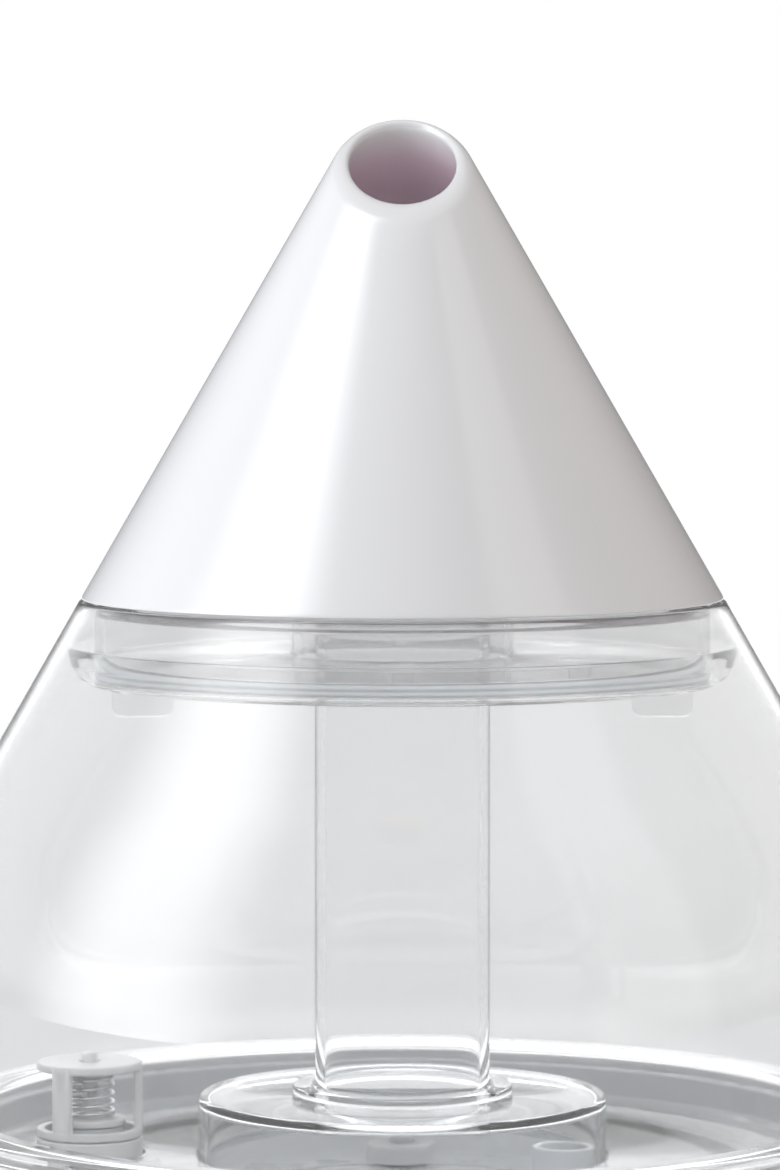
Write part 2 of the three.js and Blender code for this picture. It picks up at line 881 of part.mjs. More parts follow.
// ---------------------------------------------------------------- electronics

const BOARD_SCREWS = [
  [20, 25],
  [-20, -25],
];

function driverBoard() {
  const top = BOARD_Z + 1.6;
  const slab = block(50, 60, 1.6, 0, 0, BOARD_Z + 0.8);
  const sit = top - 0.2;
  const capacitor = moved(rod(5, sit, top + 14), -14, 14);
  const secondCapacitor = moved(rod(3.2, sit, top + 9), -14, 2);
  const coil = moved(ring(3, 7, sit, top + 7, SEGMENTS.small), -13, -12);
  const plug = block(10, 6, 7.2, 18, -20, top + 3.4);
  const relay = block(12, 10, 9.2, 14, 12, top + 4.4);
  const chip = block(10, 8, 2.2, 12, -4, top + 0.9);
  const holes = BOARD_SCREWS.map(([x, y]) => moved(rod(1.6, BOARD_Z - 1, top + 1), x, y));
  const made = join(slab, capacitor, secondCapacitor, coil, plug, relay, chip);
  return moved(cut(made, ...holes), BOARD_X, 0);
}

function heatSink() {
  const base = block(24, 2, 17, 0, 0, 8.5);
  const fins = [-11, -5.5, 0, 5.5, 11].map((x) => block(1.4, 9, 17, x, 4, 8.5));
  return moved(join(base, ...fins), BOARD_X - 4, -28, BOARD_Z + 1.6 + GAP);
}

function boardScrew([x, y]) {
  return moved(screw(1.2, 6, 2.6, 1.5).rotateX(Math.PI), BOARD_X + x, y, BOARD_Z + 1.6 + GAP);
}

function powerSocket() {
  const flange = rod(SOCKET_RADIUS, -2.6, 0.3);
  const body = block(9.6, 9.6, 11.4, 0, 0, -8.2);
  const bore = rod(3.3, -11, 1);
  const pin = rod(1.1, -12, -1, SEGMENTS.tiny);
  return onHousing(join(cut(join(flange, body), bore), pin), SOCKET_Z, 180);
}

// ---------------------------------------------------------------- dial and its control

function dialBezel() {
  return onHousing(
    turned(
      [
        [3.6, -4.4],
        [BEZEL_RADIUS, -4.4],
        [BEZEL_RADIUS, 0.5],
        [BEZEL_RADIUS - 0.6, 1],
        [DIAL_RADIUS + 0.6, 1],
        [DIAL_RADIUS + 0.6, -2.2],
        [3.6, -2.2],
      ],
      SEGMENTS.medium,
    ),
    DIAL_Z,
  );
}

function mistDial() {
  const knob = turned(
    [
      [0, -1.8],
      [DIAL_RADIUS, -1.8],
      [DIAL_RADIUS, DIAL_REACH - 1.4],
      [DIAL_RADIUS - 1.4, DIAL_REACH],
      [0, DIAL_REACH],
    ],
    SEGMENTS.medium,
  );
  const shaftHole = rod(3.3, -3, 2, SEGMENTS.small);
  const pointer = block(1.8, 6, 1.2, 0, 9.6, DIAL_REACH);
  return onHousing(cut(knob, shaftHole, pointer), DIAL_Z);
}

function dialShaft() {
  return onHousing(cut(rod(3, -12.6, 1.7), block(8, 3, 12, 0, 3.7, 4)), DIAL_Z);
}

function dialControl() {
  return onHousing(ring(3.3, 6, -11.6, -5, SEGMENTS.small), DIAL_Z);
}

function controlBoard() {
  return onHousing(block(32, 20, 1.6, 0, -5, -13.7), DIAL_Z);
}

function indicatorLens() {
  const lens = turned([[0, -3.4], [1.9, -3.4], [1.9, -0.2], [1.2, 0.4], [0, 0.4]], SEGMENTS.tiny);
  return onHousing(lens, LENS_Z);
}

// ---------------------------------------------------------------- leads inside the base

const LEADS = {
  transducer_lead: [
    [-3, -3, 35.6],
    [-3, -3, 31.4],
    [-10, -9, 28.4],
    [-24, -16, 28],
    [-34, -19.6, 28],
    [-35.2, -20, 25.6],
    [-35.2, -20, 22.4],
  ],
  control_lead: [
    [-8, -84.6, 38.6],
    [-12, -76, 37],
    [-22, -58, 30],
    [-26.4, -43, 27],
    [-30, -29, 27.6],
    [-32, -20, 25.6],
    [-32, -20, 22.4],
  ],
  fan_lead: [
    [22, -12, 19],
    [12, -21, 16],
    [0, -28, 15],
    [-14, -27, 18],
    [-26, -21.6, 26],
    [-28.8, -20, 25.6],
    [-28.8, -20, 22.4],
  ],
  power_lead: [
    [0, 83.6, 34.6],
    [-2, 74, 34],
    [-10, 58, 30],
    [-22, 34, 28],
    [-34, 15, 29],
    [-36, 13, 27.4],
    [-36, 13, 24.4],
  ],
};

// ---------------------------------------------------------------- assembly

place("nozzle_cone", nozzleCone(), MATERIALS.whiteGloss);
place("nozzle_retainer", nozzleRetainer(), MATERIALS.whiteSatin);
place("lid_plug", lidPlug(), MATERIALS.clearTank);
place("lid_seal", lidSeal(), MATERIALS.silicone);

place("tank_shell", tankShell(), MATERIALS.clearTank);
place("neck_seat", neckSeat(), MATERIALS.clearTank);
place("tank_floor", tankFloor(), MATERIALS.clearTank);
place("air_pocket_cup", airPocketCup(), MATERIALS.clearTank);
place("mist_chimney", mistChimney(), MATERIALS.clearTank);

const valve = new THREE.Group();
valve.position.set(VALVE_X, 0, 0);
humidifier.add(valve);
place("valve_body", valveBody(), MATERIALS.whiteSatin, valve);
place("valve_gasket", ring(13.6, 16, 61, TANK_FLOOR_Z - GAP, SEGMENTS.small), MATERIALS.silicone, valve);
place("valve_cage", valveCage(), MATERIALS.whiteSatin, valve);
place("valve_plunger", valvePlunger(), MATERIALS.whiteSatin, valve);
place("valve_washer", valveWasher(), MATERIALS.silicone, valve);
place("valve_spring", valveSpring(), MATERIALS.steel, valve);

place("base_housing", baseHousing(), MATERIALS.whiteGloss);
place("base_pan", basePan(), MATERIALS.whiteSatin);
place("water_basin", waterBasin(), MATERIALS.basinGrey);
place("mist_well", mistWell(), MATERIALS.basinGrey);
place("air_pipe", airPipe(), MATERIALS.basinGrey);
place("water_float", waterFloat(), MATERIALS.whiteSatin);
place("float_cap", floatCap(), MATERIALS.whiteSatin);
place("reed_switch", reedSwitch(), MATERIALS.darkPlastic);
DIAGONALS.forEach((turn, i) => {
  place(`foot_${i + 1}`, foot(turn), MATERIALS.rubber);
  place(`base_screw_${i + 1}`, baseScrew(turn), MATERIALS.steel);
});

place("transducer_disc", transducerDisc(), MATERIALS.brass);
place("transducer_gasket", transducerGasket(), MATERIALS.silicone);
place("transducer_clamp", transducerClamp(), MATERIALS.steel);
CLAMP_SCREWS.forEach(([x, y], i) => {
  place(`clamp_screw_${i + 1}`, moved(screw(0.9, 5.5, 2.2, 1.4), x, y, 32.3), MATERIALS.steel);
});

place("intake_grille", intakeGrille(), MATERIALS.whiteSatin);
place("intake_filter", intakeFilter(), MATERIALS.foam);
place("fan_frame", fanFrame(), MATERIALS.fanBlack);
place("fan_rotor", fanRotor(), MATERIALS.fanBlack);
FAN_SCREWS.forEach((at, i) => place(`fan_screw_${i + 1}`, fanScrew(at), MATERIALS.steel));
place("air_duct", airDuct(), MATERIALS.whiteSatin);

place("driver_board", driverBoard(), MATERIALS.board);
place("heat_sink", heatSink(), MATERIALS.aluminium);
BOARD_SCREWS.forEach((at, i) => place(`board_screw_${i + 1}`, boardScrew(at), MATERIALS.steel));
place("power_socket", powerSocket(), MATERIALS.darkPlastic);

place("dial_bezel", dialBezel(), MATERIALS.whiteSatin);
place("mist_dial", mistDial(), MATERIALS.whiteGloss);
place("dial_shaft", dialShaft(), MATERIALS.steel);
place("dial_control", dialControl(), MATERIALS.darkPlastic);
place("control_board", controlBoard(), MATERIALS.board);
place("indicator_lens", indicatorLens(), MATERIALS.lens);

for (const [name, points] of Object.entries(LEADS)) {
  place(name, tubeAlong(points, 1.3, 12, 6), MATERIALS.lead);
}

export default humidifier;
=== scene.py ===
"""Looks of the drop-shaped cool mist humidifier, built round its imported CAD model.

Shapes are drawn in millimetres, in the CAD model's frame, and turned into metres as each mesh is
made. Sizes come from the CAD nodes' boxes where a node gives them. Outlines of turned pieces are
lists of (radius, height) or (radius, height, corner rounding).
"""

import math

import bmesh
import bpy
from mathutils import Matrix, Vector

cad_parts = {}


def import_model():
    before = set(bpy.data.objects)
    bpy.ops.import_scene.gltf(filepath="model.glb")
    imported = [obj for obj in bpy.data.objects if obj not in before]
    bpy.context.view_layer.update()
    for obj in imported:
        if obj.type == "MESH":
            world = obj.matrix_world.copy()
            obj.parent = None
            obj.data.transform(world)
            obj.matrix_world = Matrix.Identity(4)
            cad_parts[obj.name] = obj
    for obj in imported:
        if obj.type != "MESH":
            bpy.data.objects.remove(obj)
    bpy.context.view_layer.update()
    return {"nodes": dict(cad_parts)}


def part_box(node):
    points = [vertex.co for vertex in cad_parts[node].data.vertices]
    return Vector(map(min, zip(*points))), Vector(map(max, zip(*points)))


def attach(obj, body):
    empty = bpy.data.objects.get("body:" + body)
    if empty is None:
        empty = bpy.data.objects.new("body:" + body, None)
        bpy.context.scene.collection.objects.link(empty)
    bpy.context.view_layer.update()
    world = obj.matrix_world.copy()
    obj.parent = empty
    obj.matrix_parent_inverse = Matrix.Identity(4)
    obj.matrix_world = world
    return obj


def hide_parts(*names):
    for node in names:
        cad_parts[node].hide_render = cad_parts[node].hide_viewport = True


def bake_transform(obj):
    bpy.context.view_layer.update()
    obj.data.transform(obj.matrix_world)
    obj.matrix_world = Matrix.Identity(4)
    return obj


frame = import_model()
MM = 0.001


def low_high(node):
    """A CAD node's lowest and highest corners in millimetres."""
    low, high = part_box(node)
    return low / MM, high / MM


def heights(node):
    """A CAD node's lowest and highest z in millimetres."""
    return [corner.z for corner in low_high(node)]


# ---- driving dimensions

TANK_LOW, TANK_HIGH = low_high("tank_shell")
HOUSING_LOW, HOUSING_HIGH = low_high("base_housing")
PAN_LOW, PAN_HIGH = low_high("base_pan")
CONE_LOW = low_high("nozzle_cone")[0]
CHIMNEY_LOW, CHIMNEY_HIGH = low_high("mist_chimney")

BODY_RADIUS = TANK_HIGH.x
CONE_HALF_ANGLE = math.radians(30)
WAIST_Z = 96.5
LOWER_DEPTH = 130
WALL = 2.6
CONE_WALL = 3.2
RIM_Z = TANK_HIGH.z
APEX_Z = WAIST_Z + BODY_RADIUS / math.sin(CONE_HALF_ANGLE)
MOUTH_BACK = (10.1, 309.1)  # y and z of the slanting mouth's highest and lowest points
MOUTH_FRONT = (-24.0, 285.0)
DIAGONALS = (45, 135, 225, 315)
GAP = 0.3  # between neighbouring pieces
POST_CIRCLE, FOOT_CIRCLE = 52, 69  # radii on which the housing screws and the feet stand
CLAMP_SCREW_X = 18.5
FAN_SCREW = 20  # x and y of the fan's screws from its middle

FINE, MIDDLE, SMALL = 192, 96, 48  # segments round large, middle and small turned pieces
CONE_SEGMENTS, ROUND = 256, 128  # for the nozzle cone, and for the chimney and the dial


def body_radius(z, inset=0.0):
    """Radius of the drop's outline at height z, moved inwards by inset."""
    radius = BODY_RADIUS - inset
    if z < WAIST_Z:
        return radius * math.sqrt(1 - ((WAIST_Z - z) / (LOWER_DEPTH - inset)) ** 2)
    if z < WAIST_Z + radius * math.sin(CONE_HALF_ANGLE):
        return math.sqrt(radius**2 - (z - WAIST_Z) ** 2)
    return (APEX_Z - inset / math.sin(CONE_HALF_ANGLE) - z) * math.tan(CONE_HALF_ANGLE)


def outline(a, b, steps, inset=0.0):
    """Points of the drop's outline from height a to height b."""
    heights = [a + (b - a) * i / steps for i in range(steps + 1)]
    return [(body_radius(z, inset), z) for z in heights]


def outline_tilt(z):
    """Downward tilt of the outline's normal at height z below the waist."""
    u = (WAIST_Z - z) / LOWER_DEPTH
    return math.atan(BODY_RADIUS * u / (LOWER_DEPTH * math.sqrt(1 - u * u)))


# ---- mesh helpers


def new_object(name, bm, sharp=40):
    """Turns a bmesh in millimetres into a smooth-shaded object in metres."""
    bmesh.ops.recalc_face_normals(bm, faces=bm.faces)
    bmesh.ops.scale(bm, vec=(MM, MM, MM), verts=bm.verts)
    mesh = bpy.data.meshes.new(name)
    bm.to_mesh(mesh)
    bm.free()
    mesh.shade_smooth()
    mesh.set_sharp_from_angle(angle=math.radians(sharp))
    obj = bpy.data.objects.new(name, mesh)
    bpy.context.scene.collection.objects.link(obj)
    return obj


def rounded(points, closed, steps=4):
    """The outline with an arc in place of each corner that has a rounding."""
    result = []
    count = len(points)
    for i, point in enumerate(points):
        here = Vector(point[:2])
        size = point[2] if len(point) > 2 else 0
        if not size or (not closed and i in (0, count - 1)):
            result.append(tuple(here))
            continue
        back = Vector(points[i - 1][:2]) - here
        on = Vector(points[(i + 1) % count][:2]) - here
        angle = back.angle(on)
        reach = min(size / math.tan(angle / 2), back.length * 0.49, on.length * 0.49)
        start, end = here + back.normalized() * reach, here + on.normalized() * reach
        for k in range(steps + 1):
            t = k / steps
            result.append(tuple(start * (1 - t) ** 2 + here * 2 * t * (1 - t) + end * t**2))
    return result


def turned(name, points, segments=FINE, sharp=40):
    """A solid of revolution about Z. An outline that starts on the axis ends on it."""
    closed = points[0][0] > 0
    path = rounded(points, closed)
    bm = bmesh.new()
    rings = []
    for r, z in path:
        if r < 1e-6:
            rings.append([bm.verts.new((0, 0, z))])
            continue
        angles = [2 * math.pi * k / segments for k in range(segments)]
        rings.append([bm.verts.new((r * math.sin(a), -r * math.cos(a), z)) for a in angles])
    pairs = list(zip(rings, rings[1:])) + ([(rings[-1], rings[0])] if closed else [])
    for one, two in pairs:
        for k in range(segments):
            m = (k + 1) % segments
            corners = [one[k % len(one)], one[m % len(one)], two[m % len(two)], two[k % len(two)]]
            unique = list(dict.fromkeys(corners))
            if len(unique) > 2:
                bm.faces.new(unique)
    return new_object(name, bm, sharp)


def ring_shape(name, inner, outer, low, high, edge=0.4, segments=MIDDLE):
    """A ring, tube or disc with rounded edges."""
    if inner <= 0:
        return turned(name, [(0, low), (outer, low, edge), (outer, high, edge), (0, high)], segments)
    corners = [(inner, low, edge), (outer, low, edge), (outer, high, edge), (inner, high, edge)]
    return turned(name, corners, segments)


def rounded_block(name, size, at=(0, 0, 0), edge=0.5, steps=3):
    """A block with rounded edges."""
    bm = bmesh.new()
    bmesh.ops.create_cube(bm, size=1)
    bmesh.ops.scale(bm, vec=size, verts=bm.verts)
    if edge:
        bmesh.ops.bevel(bm, geom=bm.edges, offset=edge, segments=steps, profile=0.5, affect="EDGES")
    bmesh.ops.translate(bm, vec=at, verts=bm.verts)
    return new_object(name, bm)


def tube_along(name, points, radius, sides=12, resolution=8):
    """A round tube along a smooth curve through the points, with closed ends."""
    curve = bpy.data.curves.new(name, "CURVE")
    curve.dimensions = "3D"
    spline = curve.splines.new("BEZIER")
    spline.bezier_points.add(len(points) - 1)
    for knot, point in zip(spline.bezier_points, points):
        knot.co = Vector(point) * MM
        knot.handle_left_type = knot.handle_right_type = "AUTO"
    spline.resolution_u = resolution
    curve.bevel_depth = radius * MM
    curve.bevel_resolution = max(1, sides // 4 - 1)
    curve.use_fill_caps = True
    holder = bpy.data.objects.new(name, curve)
    mesh = bpy.data.meshes.new_from_object(holder)
    bpy.data.objects.remove(holder)
    bpy.data.curves.remove(curve)
    mesh.name = name
    mesh.shade_smooth()
    mesh.set_sharp_from_angle(angle=math.radians(50))
    obj = bpy.data.objects.new(name, mesh)
    bpy.context.scene.collection.objects.link(obj)
    return obj


def reshape(obj, matrix):
    """Moves an object's mesh, so that the object itself stays at the origin."""
    obj.data.transform(matrix)
    if matrix.determinant() < 0:
        obj.data.flip_normals()
    return obj


def shifted(obj, x=0.0, y=0.0, z=0.0):
    return reshape(obj, Matrix.Translation(Vector((x, y, z)) * MM))


def spun(obj, degrees, axis="Z"):
    return reshape(obj, Matrix.Rotation(math.radians(degrees), 4, axis))


def on_housing(obj, z, turn=0):
    """Moves a piece made round Z to height z on the housing, square to its face."""
    tilt = Matrix.Rotation(math.pi / 2 + outline_tilt(z), 4, "X")
    place = Matrix.Translation(Vector((0, -body_radius(z), z)) * MM)
    return reshape(obj, Matrix.Rotation(math.radians(turn), 4, "Z") @ place @ tilt)


def around(radius, degrees):
    """Place at an angle from the front, seen from above, turning from -Y towards +X."""
    a = math.radians(degrees)
    return radius * math.sin(a), -radius * math.cos(a)


def remove(obj):
    mesh = obj.data
    bpy.data.objects.remove(obj)
    bpy.data.meshes.remove(mesh)


def clean(mesh, nearest=0.003):
    """Merges points that lie closer than nearest, and takes out faces that have no area."""
    bm = bmesh.new()
    bm.from_mesh(mesh)
    bmesh.ops.remove_doubles(bm, verts=bm.verts, dist=nearest * MM)
    bmesh.ops.dissolve_degenerate(bm, edges=bm.edges, dist=nearest * MM)
    bm.to_mesh(mesh)
    bm.free()


def boolean(obj, operation, *tools, sharp=35):
    """Joins tools to obj or cuts them from it, and removes them."""
    for tool in tools:
        modifier = obj.modifiers.new("shape", "BOOLEAN")
        modifier.operation = operation
        modifier.solver = "MANIFOLD"
        modifier.object = tool
    bpy.context.view_layer.update()
    graph = bpy.context.evaluated_depsgraph_get()
    mesh = bpy.data.meshes.new_from_object(obj.evaluated_get(graph))
    clean(mesh)
    old = obj.data
    obj.modifiers.clear()
    obj.data = mesh
    mesh.name = obj.name
    bpy.data.meshes.remove(old)
    for tool in tools:
        remove(tool)
    mesh.shade_smooth()
    mesh.set_sharp_from_angle(angle=math.radians(sharp))
    return obj


def cut(obj, *tools, sharp=35):
    return boolean(obj, "DIFFERENCE", *tools, sharp=sharp)


def added(obj, *tools, sharp=35):
    return boolean(obj, "UNION", *tools, sharp=sharp)


# ---- materials


class Look:
    """A material's node tree, with short ways to add what the finishes share."""

    def __init__(self, name):
        self.material = bpy.data.materials.new(name)
        self.material.use_nodes = True
        self.tree = self.material.node_tree
        self.shader = self.tree.nodes["Principled BSDF"]
        coordinates = self.node("TexCoord")
        self.place = coordinates.outputs["Object"]

    def node(self, kind):
        return self.tree.nodes.new("ShaderNode" + kind)

    def link(self, source, socket):
        self.tree.links.new(source, socket)

    def set(self, **values):
        for key, value in values.items():
            self.shader.inputs[key.replace("_", " ")].default_value = value
        return self

    def noise(self, scale, detail=3.0, stretch=(1, 1, 1)):
        """A noise pattern whose grains are about 1/scale metres across."""
        mapping = self.node("Mapping")
        mapping.inputs["Scale"].default_value = stretch
        self.link(self.place, mapping.inputs["Vector"])
        texture = self.node("TexNoise")
        texture.inputs["Scale"].default_value = scale
        texture.inputs["Detail"].default_value = detail
        self.link(mapping.outputs["Vector"], texture.inputs["Vector"])
        return texture.outputs["Fac"]

    def between(self, source, low, high, start=0.3, end=0.7):
        """The source's values spread from low to high."""
        spread = self.node("MapRange")
        for key, value in zip(("From Min", "From Max", "To Min", "To Max"), (start, end, low, high)):
            spread.inputs[key].default_value = value
        self.link(source, spread.inputs["Value"])
        return spread.outputs["Result"]

    def mixed(self, factor, one, two):
        """A colour between one and two."""
        mix = self.node("Mix")
        mix.data_type = "RGBA"
        self.link(factor, mix.inputs["Factor"])
        for key, colour in (("A", one), ("B", two)):
            socket = next(s for s in mix.inputs if s.name == key and s.type == "RGBA")
            if isinstance(colour, tuple):
                socket.default_value = (*colour, 1)
            else:
                self.link(colour, socket)
        return next(s for s in mix.outputs if s.type == "RGBA")

    def colour(self, source):
        self.link(source, self.shader.inputs["Base Color"])
        return self

    def roughness(self, source):
        self.link(source, self.shader.inputs["Roughness"])
        return self

    def bump(self, source, height, strength=1.0):
        """Relief of the given height in metres."""
        node = self.node("Bump")
        node.inputs["Distance"].default_value = height
        node.inputs["Strength"].default_value = strength
        self.link(source, node.inputs["Height"])
        self.link(node.outputs["Normal"], self.shader.inputs["Normal"])
        return self


def shade(colour, share):
    return tuple(channel * share for channel in colour)


def moulded(name, colour, roughness, grain=900.0, relief=0.00002, **values):
    """Moulded plastic or rubber: faint flow marks in colour and gloss, and a fine mould texture."""
    look = Look(name)
    flow = look.noise(14, 4, (1, 1, 0.5))
    look.colour(look.mixed(look.between(flow, 0, 1), shade(colour, 0.965), colour))
    look.roughness(look.between(look.noise(60, 5), roughness * 0.8, roughness * 1.25))
    look.bump(look.noise(grain, 2), relief)
    return look.set(**values).material


def clear_plastic(name, tint, milk, roughness=0.03, ior=1.45):
    """Clear moulded plastic, with a little haze and very faint flow lines."""
    look = Look(name)
    flow = look.noise(22, 3, (1, 1, 0.35))
    look.colour(look.mixed(look.between(flow, 0, 1), shade(tint, 0.985), tint))
    look.roughness(look.between(look.noise(45, 4), roughness * 0.7, roughness * 1.4))
    look.bump(look.noise(30, 2), 0.000002)
    return look.set(Transmission_Weight=1 - milk, IOR=ior).material


def brushed(name, colour, roughness, stretch=(1, 1, 30), scale=260.0):
    """Metal with fine turning or brushing marks."""
    look = Look(name)
    marks = look.noise(scale, 4, stretch)
    look.colour(look.mixed(look.between(marks, 0, 1), shade(colour, 0.86), colour))
    look.roughness(look.between(marks, roughness * 0.75, roughness * 1.3))
    look.bump(marks, 0.00002, 0.5)
    return look.set(Metallic=1.0).material


WHITE, OFF_WHITE = (0.86, 0.865, 0.88), (0.80, 0.80, 0.81)
NEAR_BLACK = (0.022, 0.023, 0.025)
GLOSS = moulded("white_gloss", WHITE, 0.12, 700, 0.000004, Coat_Weight=0.35, Coat_Roughness=0.04)
SATIN = moulded("white_satin", OFF_WHITE, 0.38)
CLEAR = clear_plastic("clear_tank", (0.856, 0.86, 0.865), 0.02, ior=1.52)
CLEAR_INNER = clear_plastic("clear_tank_inner", (0.99, 0.993, 0.996), 0.01, 0.03, 1.12)
CLEAR_LID = clear_plastic("clear_lid", (0.996, 0.997, 0.998), 0.12, 0.1, 1.07)
SILICONE = moulded("silicone", (0.76, 0.77, 0.785), 0.5, 500, 0.00002, Subsurface_Weight=0.15)
BASIN = moulded("basin_grey", (0.79, 0.81, 0.83), 0.28)
RUBBER = moulded("foot_rubber", (0.16, 0.165, 0.17), 0.75, 1200, 0.00006)
STEEL = brushed("steel", (0.62, 0.63, 0.65), 0.28)
BRASS = brushed("disc_brass", (0.72, 0.55, 0.28), 0.3, (1, 1, 1))
ALLOY = brushed("heat_sink_alloy", (0.62, 0.64, 0.66), 0.4, (30, 1, 1))
FAN_BLACK = moulded("fan_black", NEAR_BLACK, 0.42)
DARK = moulded("dark_plastic", (0.02, 0.02, 0.022), 0.36)
LENS = clear_plastic("lens_blue", (0.30, 0.62, 0.86), 0.35, 0.1)
LEAD = moulded("lead_pvc", (0.03, 0.03, 0.033), 0.45)


def foam():
    """Open-cell filter foam."""
    look = Look("filter_foam")
    cells = look.node("TexVoronoi")
    cells.inputs["Scale"].default_value = 1100
    look.link(look.place, cells.inputs["Vector"])
    depth = cells.outputs["Distance"]
    look.colour(look.mixed(look.between(depth, 0, 1, 0.1, 0.6), (0.10, 0.105, 0.11), NEAR_BLACK))
    look.bump(depth, 0.0006)
    return look.set(Roughness=0.95).material


def board():
    """Green solder mask with faint copper tracks under it."""
    look = Look("circuit_board")
    tracks = look.node("TexBrick")
    for key, value in {"Scale": 120, "Mortar Size": 0.012, "Brick Width": 0.7, "Row Height": 0.22}.items():
        tracks.inputs[key].default_value = value
    look.link(look.place, tracks.inputs["Vector"])
    green = look.mixed(look.between(look.noise(40), 0, 1), (0.012, 0.085, 0.035), (0.018, 0.12, 0.05))
    look.colour(look.mixed(tracks.outputs["Fac"], green, (0.05, 0.24, 0.10)))
    look.bump(tracks.outputs["Fac"], 0.00004)
    return look.set(Roughness=0.32).material


def nozzle_inside():
    """The nozzle's bore: satin white at the lip and far down, with mauve light painted into its colour in
    between.
    """
    look = Look("white_inside")
    white = (0.88, 0.88, 0.885)
    across = Vector((0, MOUTH_FRONT[1] - MOUTH_BACK[1], MOUTH_BACK[0] - MOUTH_FRONT[0])).normalized()
    level = across.dot(Vector((0, *MOUTH_BACK))) * MM
    height = look.node("VectorMath")
    height.operation = "DOT_PRODUCT"
    height.inputs[1].default_value = across
    look.link(look.place, height.inputs[0])
    below_lip = look.between(height.outputs["Value"], 1, 0, level - 0.010, level - 0.002)
    flow = look.between(look.noise(14, 4), 0, 1)
    # Painted light: the mauve stands in for coloured light falling into the bore, painted into the wall's
    # colour below the lip.
    mauve = look.mixed(flow, (0.91, 0.71, 0.80), (0.95, 0.75, 0.84))
    white_lip_painted_light_below = look.mixed(below_lip, white, mauve)
    far_down = look.between(height.outputs["Value"], 1, 0, level - 0.090, level - 0.045)
    look.colour(look.mixed(far_down, white_lip_painted_light_below, white))
    look.roughness(look.between(look.noise(60, 5), 0.28, 0.42))
    look.bump(look.noise(800, 2), 0.00001)
    return look.material


FOAM = foam()
BOARD = board()
NOZZLE_INSIDE = nozzle_inside()


def finish_piece(obj, material, body, slot, *nodes, inner=None):
    """Gives a piece its material and the body it rides on, and hides the nodes it stands for; slot is not
    used.
    """
    if inner is None:
        obj.data.materials.clear()
    obj.data.materials.append(material)
    if inner:
        obj.data.materials.append(inner)
    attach(obj, body)
    if nodes:
        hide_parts(*nodes)
    return obj


# ---- nozzle


def mouth_height(apex, angle):
    """Height at which a cone's ruling at an angle from the front meets the slanting mouth's plane."""
    slope = (MOUTH_BACK[1] - MOUTH_FRONT[1]) / (MOUTH_BACK[0] - MOUTH_FRONT[0])
    lean = math.tan(CONE_HALF_ANGLE) * slope * math.cos(angle)
    level = MOUTH_FRONT[1] - MOUTH_FRONT[0] * slope
    return (level - apex * lean) / (1 - lean)


def bezier(a, b, c, d, t):
    return a * (1 - t) ** 3 + b * 3 * t * (1 - t) ** 2 + c * 3 * t * t * (1 - t) + d * t**3


def nozzle_profile(angle):
    """The nozzle wall's section at an angle: up the outside, over the lip and down the inside."""
    lip = 3.0  # how far down the walls the lip's rounding starts
    lip_steps, wall_steps = 10, 14
    rise = Vector((-math.sin(CONE_HALF_ANGLE), math.cos(CONE_HALF_ANGLE)))
    inner_apex = APEX_Z - CONE_WALL / math.sin(CONE_HALF_ANGLE)
    edges = []
    for apex in (APEX_Z, inner_apex):
        z = mouth_height(apex, angle)
        edges.append(Vector(((apex - z) * math.tan(CONE_HALF_ANGLE), z)))
    outer, inner = edges
    start, end = outer - rise * lip, inner - rise * lip
    foot, edge, edge_steps = CONE_LOW.z, 1.3, 5
    corner = Vector((body_radius(foot), foot))
    edge_start = corner - Vector((edge, 0))
    outside_foot = Vector((body_radius(foot + edge), foot + edge))
    inside_foot = Vector((body_radius(foot + 0.4, CONE_WALL), foot + 0.4))
    points = [Vector((body_radius(foot, CONE_WALL) + 0.4, foot))]
    points += [
        bezier(edge_start, corner, corner, outside_foot, k / edge_steps) for k in range(edge_steps + 1)
    ]
    points += [outside_foot.lerp(start, (k + 1) / wall_steps) for k in range(wall_steps - 1)]
    points += [bezier(start, outer, inner, end, k / lip_steps) for k in range(lip_steps + 1)]
    points += [end.lerp(inside_foot, (k + 1) / wall_steps) for k in range(wall_steps)]
    first_inside = 2 + edge_steps + wall_steps - 1 + lip_steps - 2
    return points, first_inside


def nozzle_cone():
    bm = bmesh.new()
    columns = []
    for k in range(CONE_SEGMENTS):
        angle = 2 * math.pi * k / CONE_SEGMENTS
        points, first_inside = nozzle_profile(angle)
        direction = (math.sin(angle), -math.cos(angle))
        columns.append([bm.verts.new((p.x * direction[0], p.x * direction[1], p.y)) for p in points])
    rows = len(columns[0])
    for k, column in enumerate(columns):
        following = columns[(k + 1) % len(columns)]
        for i in range(rows):
            j = (i + 1) % rows
            face = bm.faces.new((column[i], following[i], following[j], column[j]))
            face.material_index = 1 if i >= first_inside else 0
    obj = new_object("nozzle_cone_shell", bm, 60)
    return finish_piece(obj, GLOSS, "nozzle", "white_gloss", "nozzle_cone", inner=NOZZLE_INSIDE)


def nozzle_retainer():
    low, high = heights("nozzle_retainer")
    points = [
        (65.2, low, 0.5), (body_radius(low, CONE_WALL) - 0.3, low, 0.5),
        (body_radius(high, CONE_WALL) - 0.3, high, 0.5), (67.4, high, 0.4), (65.2, high - 1.0, 0.4),
    ]
    obj = turned("nozzle_snap_ring", points)
    return finish_piece(obj, SATIN, "nozzle", "white_satin", "nozzle_retainer")


# ---- lid


LID_FLOOR = 180.4
LUG_TURNS = (0, 180)


